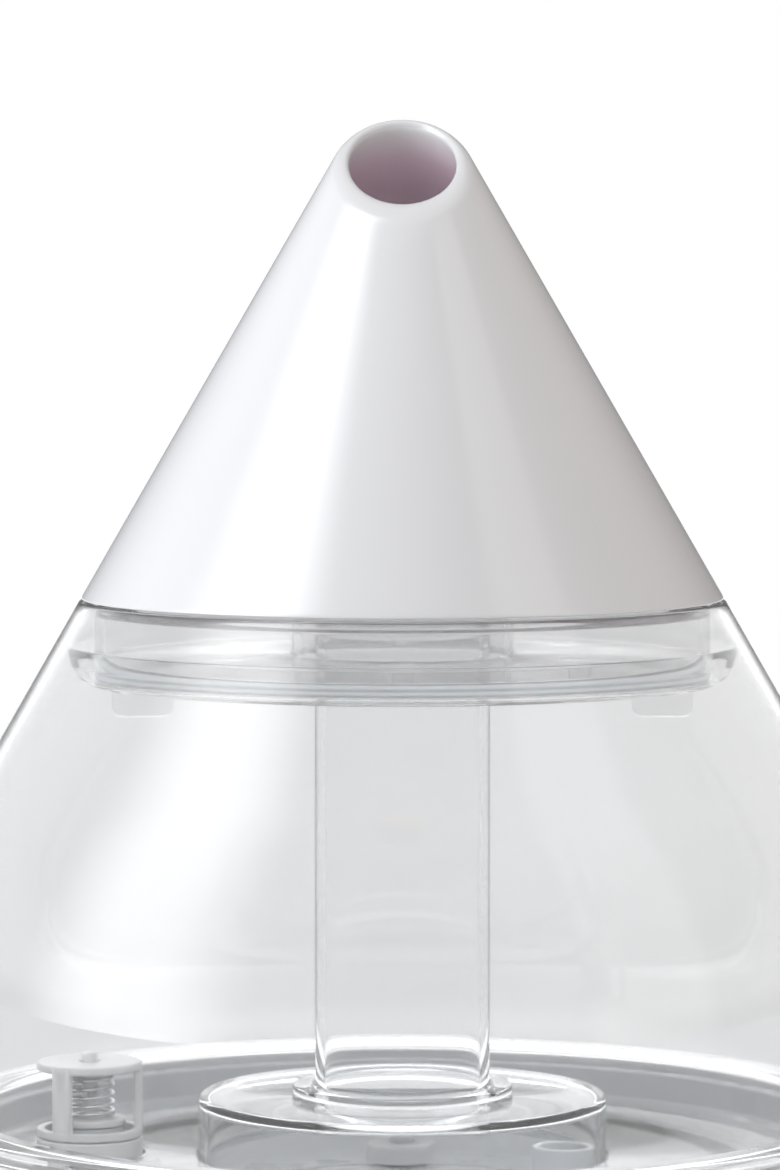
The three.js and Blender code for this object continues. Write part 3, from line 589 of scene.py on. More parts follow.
def lid_plug():
    shoulder = RIM_Z - 1.4
    bead = RIM_Z + 6
    skirt = 72.2
    points = [
        (24, 172, 0.6), (26, 172, 0.6), (26, LID_FLOOR, 1.0), (skirt, LID_FLOOR, 1.2),
        (skirt, shoulder, 0.8), (64.6, shoulder, 0.6), (64.6, bead - 2, 0.5), (66, bead - 1.6, 0.5),
        (64.9, bead, 0.5), (62.6, bead, 0.5), (62.6, shoulder - 2, 0.6), (70, shoulder - 2, 0.8),
        (70, LID_FLOOR + 2, 1.4), (26, LID_FLOOR + 2, 1.0), (26, 190, 0.6), (24, 190, 0.6),
    ]
    body = turned("lid_plug_moulding", points)
    lugs = []
    for turn in LUG_TURNS:
        lug = rounded_block("lug", (14.4, 14, 2.2), (0, 0, 0), 0)
        bm = bmesh.new()
        bm.from_mesh(lug.data)
        upright = [e for e in bm.edges if abs(e.verts[0].co.z - e.verts[1].co.z) > 1e-4]
        bmesh.ops.bevel(bm, geom=upright, offset=2.4 * MM, segments=6, profile=0.5, affect="EDGES")
        flat = [e for e in bm.edges if abs(e.verts[0].co.z - e.verts[1].co.z) < 1e-6]
        bmesh.ops.bevel(bm, geom=flat, offset=0.5 * MM, segments=3, profile=0.5, affect="EDGES")
        bm.to_mesh(lug.data)
        bm.free()
        spun(lug, 90, "X")
        shifted(lug, 61.2, 0, LID_FLOOR - 6.2)
        lugs.append(spun(lug, turn))
    drains = []
    for k in range(6):
        hole = turned("drain", [(0, 179), (2.5, 179), (2.5, 184), (0, 184)], 32)
        drains.append(shifted(hole, *around(45, 60 * k)))
    cut(added(body, *lugs), *drains)
    return finish_piece(body, CLEAR_LID, "lid", "clear_lid", "lid_plug")


def lid_seal():
    low, high = low_high("lid_seal")
    mid = (low.z + high.z) / 2
    outer = high.x
    points = [
        (69.6, low.z, 0.4), (outer - 0.3, low.z, 0.5), (outer, low.z + 0.7, 0.3),
        (outer - 0.5, mid, 0.3), (outer, high.z - 0.7, 0.3), (outer - 0.3, high.z, 0.5),
        (69.6, high.z, 0.4),
    ]
    return finish_piece(turned("lid_seal_ring", points), SILICONE, "lid", "silicone", "lid_seal")


# ---- tank


def tank_shell():
    low = TANK_LOW.z
    outside = outline(low, RIM_Z, 56)
    inside = outline(low, RIM_Z, 56, WALL)[::-1]
    points = [(*outside[0], 0.5), *outside[1:-1], (*outside[-1], 0.7)]
    points += [(*inside[0], 0.7), *inside[1:-1], (*inside[-1], 0.5)]
    obj = turned("tank_clear_shell", points)
    return finish_piece(obj, CLEAR, "tank", "clear_tank", "tank_shell")


def neck_seat():
    ledge, top = 175.4, 184.4
    edge = body_radius(top, WALL) - 0.3
    points = [
        (69.4, ledge, 0.8), (73.4, ledge, 1.6), (76, ledge + 1.6, 1.6), (77.7, ledge + 4.6, 2.4),
        (edge, top, 0.3), (76.6, top, 0.8), (73.1, ledge + 1.8, 0.8), (69.4, ledge + 1.8, 0.6),
    ]
    return finish_piece(turned("neck_seat_dish", points), CLEAR_INNER, "tank", "clear_tank", "neck_seat")


def mist_chimney():
    low, high = CHIMNEY_LOW.z, CHIMNEY_HIGH.z
    bore, outer = 18.4, 20.6
    foot = 78.5
    flange = CHIMNEY_HIGH.x
    points = [
        (bore, low, 0.6), (outer, low, 0.6), (outer, foot, 0.6), (flange, foot, 0.6),
        (flange, foot + 2.2, 0.6), (outer, foot + 2.2, 1.6), (outer, high, 0.9), (bore, high, 0.9),
    ]
    obj = turned("mist_chimney_tube", points, ROUND)
    return finish_piece(obj, CLEAR_INNER, "tank", "clear_tank", "mist_chimney")


VALVE_X = -74
POCKET = 48.2


def tank_floor():
    under, thick, flange = 62, 2.2, 74
    points = [
        (102.9, under, 1.6), (102.9, flange, 1.0), (body_radius(flange, WALL) - 0.5, flange, 0.4),
        (body_radius(flange + thick, WALL) - 0.5, flange + thick, 0.5), (100.7, flange + thick, 1.0),
        (100.7, under + thick, 1.6), (POCKET + GAP, under + thick, 0.5), (POCKET + GAP, under, 0.5),
    ]
    floor = turned("tank_floor_moulding", points)
    hole = shifted(turned("hole", [(0, 60), (13.3, 60), (13.3, 66), (0, 66)], MIDDLE), VALVE_X)
    cut(floor, hole)
    return finish_piece(floor, CLEAR_INNER, "tank", "clear_tank", "tank_floor")


def air_pocket_cup():
    low, top = heights("air_pocket_cup")
    thick, hole = 2.2, 20.9
    points = [
        (POCKET - thick, low, 0.7), (POCKET, low, 0.7), (POCKET, top, 1.4), (hole, top, 0.5),
        (hole, top - thick, 0.5), (POCKET - thick, top - thick, 1.0),
    ]
    cup = turned("air_pocket_moulding", points)
    return finish_piece(cup, CLEAR_INNER, "tank", "clear_tank", "air_pocket_cup")


# ---- water valve


SEAT = 66


def at_valve(obj):
    return shifted(obj, VALVE_X)


def cross_bars(radius, width, low, high, count=2):
    bars = []
    for k in range(count):
        bar = rounded_block("bar", (2 * radius, width, high - low), (0, 0, (low + high) / 2), 0.3)
        bars.append(spun(bar, 180 * k / count))
    return bars


def valve_body():
    points = [
        (9.5, 58.9, 0.4), (16.2, 58.9, 0.6), (16.2, 60.7, 0.5), (12.6, 60.7, 0.5),
        (12.6, SEAT + 2, 0.5), (10.9, SEAT + 2, 0.5), (10.9, SEAT, 0.3), (7, SEAT, 0.2),
        (6.6, SEAT + 0.1, 0.1), (6, SEAT - 0.2, 0.3), (6, SEAT - 2, 0.3), (10.2, SEAT - 2, 0.4),
    ]
    body = turned("valve_cup", points, MIDDLE)
    guide = ring_shape("guide", 0, 3.7, 59.2, 61.2, 0.3, SMALL)
    added(body, guide, *cross_bars(9.8, 1.4, 59.2, 60.8))
    cut(body, turned("stem_hole", [(0, 58), (2.3, 58), (2.3, 63), (0, 63)], SMALL))
    return finish_piece(at_valve(body), SATIN, "tank", "white_satin", "valve_body")


def valve_gasket():
    low, high = heights("valve_gasket")
    obj = at_valve(ring_shape("valve_flat_gasket", 13.6, 16, low, high, 0.25))
    return finish_piece(obj, SILICONE, "tank", "silicone", "valve_gasket")


def valve_cage():
    low, high = heights("valve_cage")
    cage = ring_shape("valve_cage_frame", 10.6, 12.5, low, low + 2, 0.4)
    roof = ring_shape("roof", 2.4, 12.5, high - 2, high, 0.6)
    legs = []
    for k in range(3):
        leg = rounded_block("leg", (1.8, 5, high - low - 0.6), (11.5, 0, (low + high) / 2), 0.5)
        legs.append(spun(leg, 120 * k))
    added(cage, roof, *legs)
    return finish_piece(at_valve(cage), SATIN, "tank", "white_satin", "valve_cage")


def valve_plunger():
    low, high = heights("valve_plunger")
    points = [
        (0, low), (1.9, low, 0.7), (1.9, SEAT + 5, 0.3), (8.6, SEAT + 5, 0.4), (8.6, SEAT + 6.6, 0.5),
        (3.2, SEAT + 6.6, 0.8), (1.9, SEAT + 8.2, 0.8), (1.9, high, 0.6), (0, high),
    ]
    obj = at_valve(turned("valve_plunger_stem", points, SMALL))
    return finish_piece(obj, SATIN, "valve", "white_satin", "valve_plunger")


def valve_washer():
    low, high = heights("valve_washer")
    obj = at_valve(ring_shape("valve_rubber_washer", 2.2, 8, low, high, 0.4))
    return finish_piece(obj, SILICONE, "valve", "silicone", "valve_washer")


def valve_spring():
    low, high = heights("valve_spring")
    wire, radius, turns, per_turn = 0.42, 5.6, 6, 20
    low, high = low + wire, high - wire
    points = []
    for i in range(turns * per_turn + 1):
        share = i / (turns * per_turn)
        eased = min(max((share - 1 / turns) / (1 - 2 / turns), 0), 1)
        lift = 2 * wire * (min(share, 1 / turns) + max(share - 1 + 1 / turns, 0)) * turns
        angle = 2 * math.pi * i / per_turn
        z = low + lift + (high - low - 4 * wire) * eased
        points.append((radius * math.cos(angle), radius * math.sin(angle), z))
    obj = at_valve(tube_along("valve_coil_spring", points, wire, 12, 2))
    obj.data.materials.clear()
    obj.data.materials.append(STEEL)
    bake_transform(obj)
    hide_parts("valve_spring")
    return obj


# ---- base shells


DIAL_Z, LENS_Z, SOCKET_Z = 36, 60, 27
DIAL_RADIUS, BEZEL_RADIUS, SOCKET_RADIUS = 14.6, 17.4, 7.2
PAN_TOP = 14
POST_BORE = 36.5  # where the wide bores of the pan's screw posts end
FAN_X = 50
BOARD_X = -50


def peg(radius, low, high, segments=SMALL):
    return turned("peg", [(0, low), (radius, low), (radius, high), (0, high)], segments)


def base_housing():
    low, high = HOUSING_LOW.z, HOUSING_HIGH.z
    ledge = 68
    bore = body_radius(high, WALL) - 0.2
    outside = outline(low, high, 28)
    inside = outline(low, ledge - 2.2, 24, WALL)[::-1]
    points = [(*outside[0], 0.5), *outside[1:-1], (*outside[-1], 0.8)]
    points += [(bore, high, 0.5), (bore, ledge, 0.3), (107.2, ledge, 0.6), (107.2, ledge - 2.2, 0.5)]
    points += [*inside[:-1], (*inside[-1], 0.4)]
    housing = turned("base_housing_shell", points)
    bezel_hole = on_housing(peg(BEZEL_RADIUS + GAP, -14, 14, MIDDLE), DIAL_Z)
    socket_hole = on_housing(peg(SOCKET_RADIUS + GAP, -8, 8), SOCKET_Z, 180)
    lens_hole = on_housing(peg(2.2, -8, 8), LENS_Z)
    cut(housing, bezel_hole, socket_hole, lens_hole, sharp=50)
    return finish_piece(housing, GLOSS, "base", "white_gloss", "base_housing")


def base_pan():
    low, lip, inner = PAN_LOW.z, PAN_TOP + 4, WALL + 0.5
    floor_top = low + 2.4
    outside = outline(low + 1, PAN_TOP, 10)
    points = [(0, low), (body_radius(low) - 1.2, low, 1.2), *outside[:-1], (*outside[-1], 0.5)]
    points += [(body_radius(PAN_TOP, inner), PAN_TOP, 0.3), (body_radius(lip, inner), lip, 0.5)]
    points += [(body_radius(lip, inner + 1.8), lip, 0.5), (body_radius(PAN_TOP, inner + 1.8), PAN_TOP)]
    points += [(body_radius(floor_top + 2, WALL), floor_top + 2, 1.0)]
    points += [(body_radius(floor_top, WALL) - 2, floor_top, 1.0), (0, floor_top)]
    pan = turned("base_pan_moulding", points)
    overlap = floor_top - 0.4
    solids = [shifted(ring_shape("wall", 25.2, 26.8, overlap, 9.5, 0.4), FAN_X)]
    for x, y in ((20, 20), (-20, 20), (-20, -20), (20, -20)):
        solids.append(shifted(peg(3, overlap, 10.7), FAN_X + x, y))
        solids.append(shifted(peg(2.6, overlap, 12.7), BOARD_X + x, y * 1.25))
    post_top = PAN_HIGH.z
    for turn in DIAGONALS:
        solids.append(shifted(peg(5.4, overlap, post_top), *around(POST_CIRCLE, turn)))
    holes = [shifted(peg(24.6, 0, 7, MIDDLE), FAN_X)]
    for turn in DIAGONALS:
        holes.append(shifted(peg(1.9, 0, post_top + 2), *around(POST_CIRCLE, turn)))
        holes.append(shifted(peg(4.1, 0, POST_BORE), *around(POST_CIRCLE, turn)))
        holes.append(shifted(peg(8.3, 0, 3.7), *around(FOOT_CIRCLE, turn)))
    for x, y in ((20, 20), (-20, -20)):
        holes.append(shifted(peg(1.5, 6, 12), FAN_X + x, y))
        holes.append(shifted(peg(1.5, 6, 14), BOARD_X + x, y * 1.25))
    cut(added(pan, *solids), *holes)
    return finish_piece(pan, SATIN, "base", "white_satin", "base_pan")


def feet():
    for k, turn in enumerate(DIAGONALS):
        points = [(0, 0.4), (3.2, 0.4, 0.3), (4.0, 0, 0.3), (7.2, 0, 0.3)]
        points += [(8, 0.8, 0.4), (8, 3.4, 0.4), (0, 3.4)]
        foot = shifted(turned(f"rubber_foot_{k + 1}", points, SMALL), *around(FOOT_CIRCLE, turn))
        finish_piece(foot, RUBBER, "base", "foot_rubber", f"foot_{k + 1}")


def screw(name, shank, length, head, head_height):
    """A pan-head screw pointing up, with a cross recess and a ridged shank, head underside at 0."""
    pitch = shank * 0.7
    ridges = max(2, int((length - 2 * shank) / pitch))
    points = [(0, -head_height), (head * 0.7, -head_height, head_height * 0.6)]
    points += [(head, -head_height * 0.35, head_height * 0.3), (head, 0, 0.1), (shank, 0, 0.1)]
    for k in range(ridges):
        z = shank * 0.6 + k * pitch
        points += [(shank * 0.78, z), (shank, z + pitch * 0.5)]
    points += [(shank * 0.78, shank * 0.6 + ridges * pitch), (0.2, length), (0, length)]
    body = turned(name, points, 32, 25)
    arms = []
    for turn in (0, 90):
        arm = rounded_block("arm", (head * 1.15, head * 0.26, head_height), (0, 0, -head_height), 0.08, 2)
        arms.append(spun(arm, turn))
    return cut(body, *arms)


def screws():
    for k, turn in enumerate(DIAGONALS):
        obj = screw(f"housing_screw_{k + 1}", 1.5, 9.5, 3.6, 2)
        shifted(obj, *around(POST_CIRCLE, turn), POST_BORE - GAP)
        finish_piece(obj, STEEL, "base", "steel", f"base_screw_{k + 1}")
    for k, sign in enumerate((1, -1)):
        clamp = shifted(screw(f"clamp_stud_{k + 1}", 0.9, 5.5, 2.2, 1.4), CLAMP_SCREW_X * sign, 0, 32.3)
        finish_piece(clamp, STEEL, "base", "steel", f"clamp_screw_{k + 1}")
        fan = spun(screw(f"fan_bolt_{k + 1}", 1.2, 17.5, 2.8, 1.6), 180, "X")
        shifted(fan, FAN_X + FAN_SCREW * sign, FAN_SCREW * sign, 25.3)
        finish_piece(fan, STEEL, "base", "steel", f"fan_screw_{k + 1}")
        board_screw = spun(screw(f"board_bolt_{k + 1}", 1.2, 6, 2.6, 1.5), 180, "X")
        shifted(board_screw, BOARD_X + 20 * sign, 25 * sign, 14.9)
        finish_piece(board_screw, STEEL, "base", "steel", f"board_screw_{k + 1}")


# ---- basin, float, disc


WELL_OUTER = 26.2
PIPE_X, PIPE_RADIUS = 38, 7.4
FLOAT_Y = 74


def water_basin():
    floor, rim, edge = 50, 68.3, 104.6
    under = floor - 2.2
    inner = WELL_OUTER + GAP
    points = [
        (inner, under, 0.5), (94, under, 2.0), (edge + 2.2, 64, 2.0), (edge + 2.2, rim, 0.6),
        (109.4, rim, 0.5), (109.4, rim + 2, 0.7), (edge, rim + 2, 0.8), (edge, 63, 2.0),
        (92, floor, 3.0), (inner, floor, 0.5),
    ]
    basin = turned("water_basin_moulding", points)
    into = under + 1
    solids = [shifted(peg(2.2, into, 57.9), VALVE_X), shifted(peg(3, into, 60.2), 0, FLOAT_Y)]
    holes = [shifted(peg(PIPE_RADIUS + GAP, 40, 56, MIDDLE), PIPE_X)]
    holes.append(shifted(peg(1.9, 44, 58), 0, FLOAT_Y))
    for turn in DIAGONALS:
        solids.append(shifted(peg(4.6, PAN_HIGH.z + GAP, into), *around(POST_CIRCLE, turn)))
        holes.append(shifted(peg(1.8, 36, 46.6), *around(POST_CIRCLE, turn)))
    cut(added(basin, *solids), *holes)
    return finish_piece(basin, BASIN, "base", "basin_grey", "water_basin")


def mist_well():
    floor, inner = 41, WELL_OUTER - 2.2
    under, top = floor - 2.4, heights("mist_well")[1]
    lap = WELL_OUTER + 2.8
    points = [
        (8.6, under, 0.4), (13, under, 0.3), (13, under - 3.4, 0.3), (14.6, under - 3.4, 0.3),
        (14.6, under, 0.4), (WELL_OUTER, under, 1.2), (WELL_OUTER, top - 1.6, 0.3),
        (lap, top - 1.6, 0.3), (lap, top, 0.8), (inner, top, 0.9), (inner, floor, 1.6),
        (8.6, floor, 0.6),
    ]
    well = turned("mist_well_cup", points)
    bosses = [shifted(peg(2.8, 35, under + 1), CLAMP_SCREW_X * sign) for sign in (1, -1)]
    pilots = [shifted(peg(1.2, 33, 40), CLAMP_SCREW_X * sign) for sign in (1, -1)]
    cut(added(well, *bosses), *pilots)
    return finish_piece(well, BASIN, "base", "basin_grey", "mist_well")


def air_pipe():
    low, top = heights("air_pipe")
    lap = 50.3
    points = [
        (PIPE_RADIUS - 1.6, low, 0.4), (PIPE_RADIUS, low, 0.4), (PIPE_RADIUS, lap, 0.1),
        (PIPE_RADIUS + 1.2, lap, 0.2), (PIPE_RADIUS, lap + 1.6, 0.8), (PIPE_RADIUS, top, 0.6),
        (PIPE_RADIUS - 1.6, top, 0.6),
    ]
    pipe = shifted(turned("air_pipe_moulding", points, MIDDLE), PIPE_X)
    return finish_piece(pipe, BASIN, "base", "basin_grey", "air_pipe")


def water_float():
    low, high = heights("water_float")
    points = [(3.4, low, 0.4), (9, low, 1.4), (9, high, 1.4), (3.4, high, 0.4)]
    obj = shifted(turned("float_ring", points, MIDDLE), 0, FLOAT_Y)
    finish_piece(obj, SATIN, "float", "white_satin", "water_float")
    low, high = heights("float_cap")
    cap = turned("float_retainer", [(0, low), (5, low, 0.3), (5, high, 0.6), (0, high)], SMALL)
    finish_piece(shifted(cap, 0, FLOAT_Y), SATIN, "base", "white_satin", "float_cap")
    low, high = heights("reed_switch")
    reed = turned("reed_switch_tube", [(0, low), (1.4, low, 0.5), (1.4, high, 0.5), (0, high)], SMALL)
    finish_piece(shifted(reed, 0, FLOAT_Y), DARK, "base", "dark_plastic", "reed_switch")


def transducer():
    low, high = heights("transducer_disc")
    points = [(0, low), (10, low, 0.2), (10, high, 0.2), (8.4, high, 0.1)]
    points += [(8.2, high - 0.15, 0.1), (0, high - 0.15)]
    finish_piece(turned("ultrasonic_disc", points, MIDDLE), BRASS, "base", "disc_brass", "transducer_disc")
    points = [
        (8.2, 35.2, 0.2), (12.6, 35.2, 0.5), (12.6, 38.3, 0.5), (8.2, 38.3, 0.2), (8.2, 37.8, 0.1),
        (10.4, 37.8, 0.1), (10.4, 36, 0.1), (8.2, 36, 0.1),
    ]
    gasket = turned("disc_gasket", points, MIDDLE)
    finish_piece(gasket, SILICONE, "base", "silicone", "transducer_gasket")
    clamp = ring_shape("disc_clamp_plate", 8.2, 17, 32.6, 34.7, 0.3)
    ears = [shifted(ring_shape("ear", 0, 4, 32.6, 34.7, 0.3, SMALL), CLAMP_SCREW_X * s) for s in (1, -1)]
    holes = [shifted(peg(1.6, 30, 36), CLAMP_SCREW_X * s) for s in (1, -1)]
    cut(added(clamp, *ears), *holes)
    finish_piece(clamp, STEEL, "base", "steel", "transducer_clamp")


# ---- fan and air path


def intake():
    low = heights("intake_grille")[0]
    grille = ring_shape("intake_grille_plate", 0, 24.3, low, low + 1.2, 0.3)
    slots = []
    for y in range(-15, 16, 5):
        reach = math.sqrt(20**2 - y**2)
        for sign in (1, -1):
            size = (reach - 0.8, 2.6, 6)
            slots.append(rounded_block("slot", size, (sign * (reach + 0.8) / 2, y, low), 0.6, 3))
    cut(grille, *slots)
    finish_piece(shifted(grille, FAN_X), SATIN, "base", "white_satin", "intake_grille")
    low, high = heights("intake_filter")
    pad = ring_shape("intake_filter_pad", 0, 24, low, high, 0.8)
    finish_piece(shifted(pad, FAN_X), FOAM, "base", "filter_foam", "intake_filter")


def fan_frame():
    low, high = heights("fan_frame")
    middle = (low + high) / 2
    frame_block = rounded_block("fan_housing", (50, 50, high - low), (0, 0, middle), 0)
    bm = bmesh.new()
    bm.from_mesh(frame_block.data)
    upright = [e for e in bm.edges if abs(e.verts[0].co.z - e.verts[1].co.z) > 1e-4]
    bmesh.ops.bevel(bm, geom=upright, offset=4 * MM, segments=8, profile=0.5, affect="EDGES")
    bm.to_mesh(frame_block.data)
    bm.free()
    waist = [(26.5, low + 3), (40, low + 3), (40, high - 3), (26.5, high - 3)]
    holes = [peg(23.6, low - 1, high + 1, MIDDLE)]
    for x, y in ((20, 20), (-20, 20), (-20, -20), (20, -20)):
        holes.append(shifted(peg(1.9, low - 1, high + 1), x, y))
    cut(frame_block, turned("waist", waist, MIDDLE), *holes)
    hub = ring_shape("hub", 0, 9, low, low + 1.6, 0.3, MIDDLE)
    added(frame_block, hub, *cross_bars(24, 2, low, low + 1.6))
    finish_piece(shifted(frame_block, FAN_X), FAN_BLACK, "base", "fan_black", "fan_frame")


def fan_blade(name, inner, outer, middle, height):
    """One blade: a twisted, cambered sheet with thickness, tapered at its edges."""
    across, along = 10, 10
    bm = bmesh.new()
    sides = []
    for side in (1, -1):
        grid = []
        for i in range(along + 1):
            r = inner + (outer - inner) * i / along
            pitch = math.radians(52 - 22 * i / along)
            row = []
            for j in range(across + 1):
                t = j / across - 0.5
                thick = 0.55 * math.sqrt(max(1 - (2 * t) ** 2, 0.02))
                camber = 0.9 * (1 - (2 * t) ** 2)
                width = height / math.sin(pitch)
                x = t * width * math.cos(pitch) + camber * 0.5
                z = t * width * math.sin(pitch) + side * thick + camber * 0.3
                angle = x / r
                row.append(bm.verts.new((r * math.cos(angle), r * math.sin(angle), middle + z)))
            grid.append(row)
        sides.append(grid)
    top, bottom = sides
    for i in range(along):
        for j in range(across):
            bm.faces.new((top[i][j], top[i + 1][j], top[i + 1][j + 1], top[i][j + 1]))
            bm.faces.new((bottom[i][j], bottom[i][j + 1], bottom[i + 1][j + 1], bottom[i + 1][j]))
    border = [(i, 0) for i in range(along)] + [(along, j) for j in range(across)]
    border += [(i, across) for i in range(along, 0, -1)] + [(0, j) for j in range(across, 0, -1)]
    for (i, j), (m, n) in zip(border, border[1:] + border[:1]):
        bm.faces.new((top[i][j], bottom[i][j], bottom[m][n], top[m][n]))
    return new_object(name, bm)


def fan_rotor():
    low, high = heights("fan_rotor")
    points = [(0, low), (9.4, low, 0.4), (9.4, high, 1.2), (3, high, 0.3)]
    points += [(2.6, high - 0.3, 0.2), (0, high - 0.3)]
    rotor = turned("fan_impeller", points, MIDDLE)
    blades = []
    for k in range(7):
        blade = fan_blade("blade", 8.8, 22.0, (low + high) / 2, high - low - 3.4)
        blades.append(spun(blade, 360 * k / 7))
    added(rotor, *blades)
    finish_piece(shifted(rotor, FAN_X), FAN_BLACK, "fan", "fan_black", "fan_rotor")


def air_duct():
    low = heights("air_duct")[0]
    straight, top = 42.5, 47.4
    lean = PIPE_X - FAN_X
    points = [
        (20.6, low, 0.4), (22.4, low, 0.4), (22.4, low + 1.8, 0.8), (9.5, straight, 1.0),
        (9.5, top, 0.4), (7.8, top, 0.4), (7.8, straight, 1.0), (20.6, low + 2.4, 0.8),
    ]
    duct = turned("air_duct_funnel", points, MIDDLE)
    for vertex in duct.data.vertices:
        share = (vertex.co.z / MM - low - 2.4) / (straight - low - 2.4)
        vertex.co.x += (FAN_X + lean * min(max(share, 0), 1)) * MM
    finish_piece(duct, SATIN, "base", "white_satin", "air_duct")


# ---- dial, socket and lamp


def dial():
    bezel_points = [
        (3.6, -4.4, 0.3), (BEZEL_RADIUS, -4.4, 0.3), (BEZEL_RADIUS, 1, 0.9),
        (DIAL_RADIUS + 0.6, 1, 0.5), (DIAL_RADIUS + 0.6, -2.2, 0.4), (3.6, -2.2, 0.3),
    ]
    bezel = on_housing(turned("dial_bezel_ring", bezel_points, ROUND), DIAL_Z)
    finish_piece(bezel, SATIN, "base", "white_satin", "dial_bezel")
    reach = 5
    knob_points = [
        (0, -1.8), (DIAL_RADIUS, -1.8, 0.3), (DIAL_RADIUS, reach - 0.2, 1.2),
        (DIAL_RADIUS - 1.6, reach, 0.6), (DIAL_RADIUS - 3.0, reach - 0.5, 1.0), (0, reach - 0.9),
    ]
    knob = turned("mist_dial_knob", knob_points, ROUND)
    grooves = []
    for k in range(40):
        groove = rounded_block("groove", (0.8, 1.0, 6), (0, DIAL_RADIUS + 0.1, 3), 0.25, 2)
        grooves.append(spun(groove, 9 * k))
    shaft_hole = peg(3.3, -3, 2)
    pointer = rounded_block("pointer", (1.6, 5.4, 1.6), (0, 8.2, reach - 0.6), 0.5, 3)
    cut(knob, *grooves, shaft_hole, pointer)
    finish_piece(on_housing(knob, DIAL_Z), GLOSS, "dial", "white_gloss", "mist_dial")
    shaft = turned("dial_shaft_pin", [(0, -12.6), (3, -12.6, 0.4), (3, 1.7, 0.4), (0, 1.7)], SMALL)
    cut(shaft, rounded_block("flat", (8, 3, 12), (0, 3.7, 4), 0))
    finish_piece(on_housing(shaft, DIAL_Z), STEEL, "dial", "steel", "dial_shaft")
    can = [(3.3, -11.6, 0.3), (6, -11.6, 0.5), (6, -5, 0.5), (3.3, -5, 0.3)]
    control = turned("dial_control_can", can, SMALL)
    finish_piece(on_housing(control, DIAL_Z), DARK, "base", "dark_plastic", "dial_control")


def socket():
    points = [(0, -2.6), (SOCKET_RADIUS, -2.6, 0.3), (SOCKET_RADIUS, 0.3, 0.6)]
    points += [(4.4, 0.3, 0.3), (4.0, -0.2, 0.2), (0, -0.2)]
    flange = turned("power_socket_jack", points, MIDDLE)
    added(flange, rounded_block("body", (9.6, 9.6, 11.4), (0, 0, -8.2), 0.5))
    cut(flange, peg(3.3, -11, 1))
    pin = turned("pin", [(0, -12), (1.1, -12), (1.1, -1, 0.5), (0, -1)], SMALL)
    added(flange, pin)
    finish_piece(on_housing(flange, SOCKET_Z, 180), DARK, "base", "dark_plastic", "power_socket")


def lens():
    points = [(0, -3.4), (1.9, -3.4, 0.3), (1.9, 0.1, 0.6), (0.8, 0.4, 0.3), (0, 0.4)]
    obj = on_housing(turned("indicator_light_guide", points, SMALL), LENS_Z)
    finish_piece(obj, LENS, "base", "lens_blue", "indicator_lens")


# ---- carried-over CAD nodes


CARRIED = {
    "driver_board": BOARD,
    "control_board": BOARD,
    "heat_sink": ALLOY,
    "transducer_lead": LEAD,
    "fan_lead": LEAD,
    "power_lead": LEAD,
    "control_lead": LEAD,
}


def carried_over():
    for node, material in CARRIED.items():
        obj = frame["nodes"][node]
        obj.data.materials.clear()
        obj.data.materials.append(material)


# ---- stage, light and camera


SHADED_FLOOR = (0.20, 0.36)  # radii in metres between which the floor turns into plain white glow


def nodes_for(tree):
    """Short ways to add sums, steps and windows to a node tree."""

    def maths(operation, *values):
        node = tree.nodes.new("ShaderNodeMath")
        node.operation = operation
        for socket, value in zip(node.inputs, values):
            if isinstance(value, (int, float)):
                socket.default_value = value
            else:
                tree.links.new(value, socket)
        return node.outputs["Value"]

    def step(value, start, end, low=0.0, high=1.0):
        node = tree.nodes.new("ShaderNodeMapRange")
        node.interpolation_type = "SMOOTHSTEP"
        for key, number in zip(("From Min", "From Max", "To Min", "To Max"), (start, end, low, high)):
            node.inputs[key].default_value = number
        tree.links.new(value, node.inputs["Value"])
        return node.outputs["Result"]

    def window(value, start, end, soft):
        rise = step(value, math.radians(start - soft), math.radians(start + soft))
        fall = step(value, math.radians(end - soft), math.radians(end + soft), 1, 0)
        return maths("MULTIPLY", rise, fall)

    return maths, step, window


def floor_material():
    """A pale floor that fades into plain white away from the object."""
    look = Look("studio_floor")
    maths, step, _ = nodes_for(look.tree)
    split = look.node("SeparateXYZ")
    look.link(look.place, split.inputs["Vector"])
    x, y = split.outputs["X"], split.outputs["Y"]
    radius = maths("SQRT", maths("ADD", maths("MULTIPLY", x, x), maths("MULTIPLY", y, y)))
    glow = step(radius, *SHADED_FLOOR)
    grain = look.noise(300, 3)
    pale = look.mixed(look.between(grain, 0, 1), (0.86, 0.86, 0.865), (0.90, 0.90, 0.905))
    look.colour(look.mixed(glow, pale, (0.0, 0.0, 0.0)))
    white = look.mixed(glow, (0.0, 0.0, 0.0), (1.0, 1.0, 1.0))
    look.link(white, look.shader.inputs["Emission Color"])
    shine = maths("MULTIPLY", maths("SUBTRACT", 1, glow), 0.3)
    look.link(shine, look.shader.inputs["Specular IOR Level"])
    return look.set(Roughness=0.6, Emission_Strength=1.0).material


def floor():
    points = [(0, -2), (9000, -2), (9000, 0), (0, 0)]
    obj = turned("studio_floor", points, 64)
    obj.data.materials.append(floor_material())


# Directions are in degrees. Azimuth is 0 at the front (-Y) and positive to the right.
LEFT_TONE, FRONT_TONE, RIGHT_TONE = (0.66, 0.68, 0.72), (0.60, 0.60, 0.61), (0.50, 0.43, 0.38)
TALL_WINDOW = {"azimuth": (-87, -47, 15), "height": (-12, 76, 12), "strength": 5.2}
NARROW_WINDOW = {"azimuth": (44, 76, 3.5), "height": (-14, 60, 6), "strength": 0.8}
# A band: the directions where it starts and ends, and the strengths before and after it.
FRONT_BAND = (22, 50, 0.35, 1.0)
BACK_BAND = (115, 150, 1.0, 0.4)
OVERHEAD_BAND = (45, 70, 0.0, 1.5)
LOW_SKY_BAND = (0.5, 5, 0.0, 1.25)
HIGH_SKY_BAND = (12, 50, 0.0, 1.0)


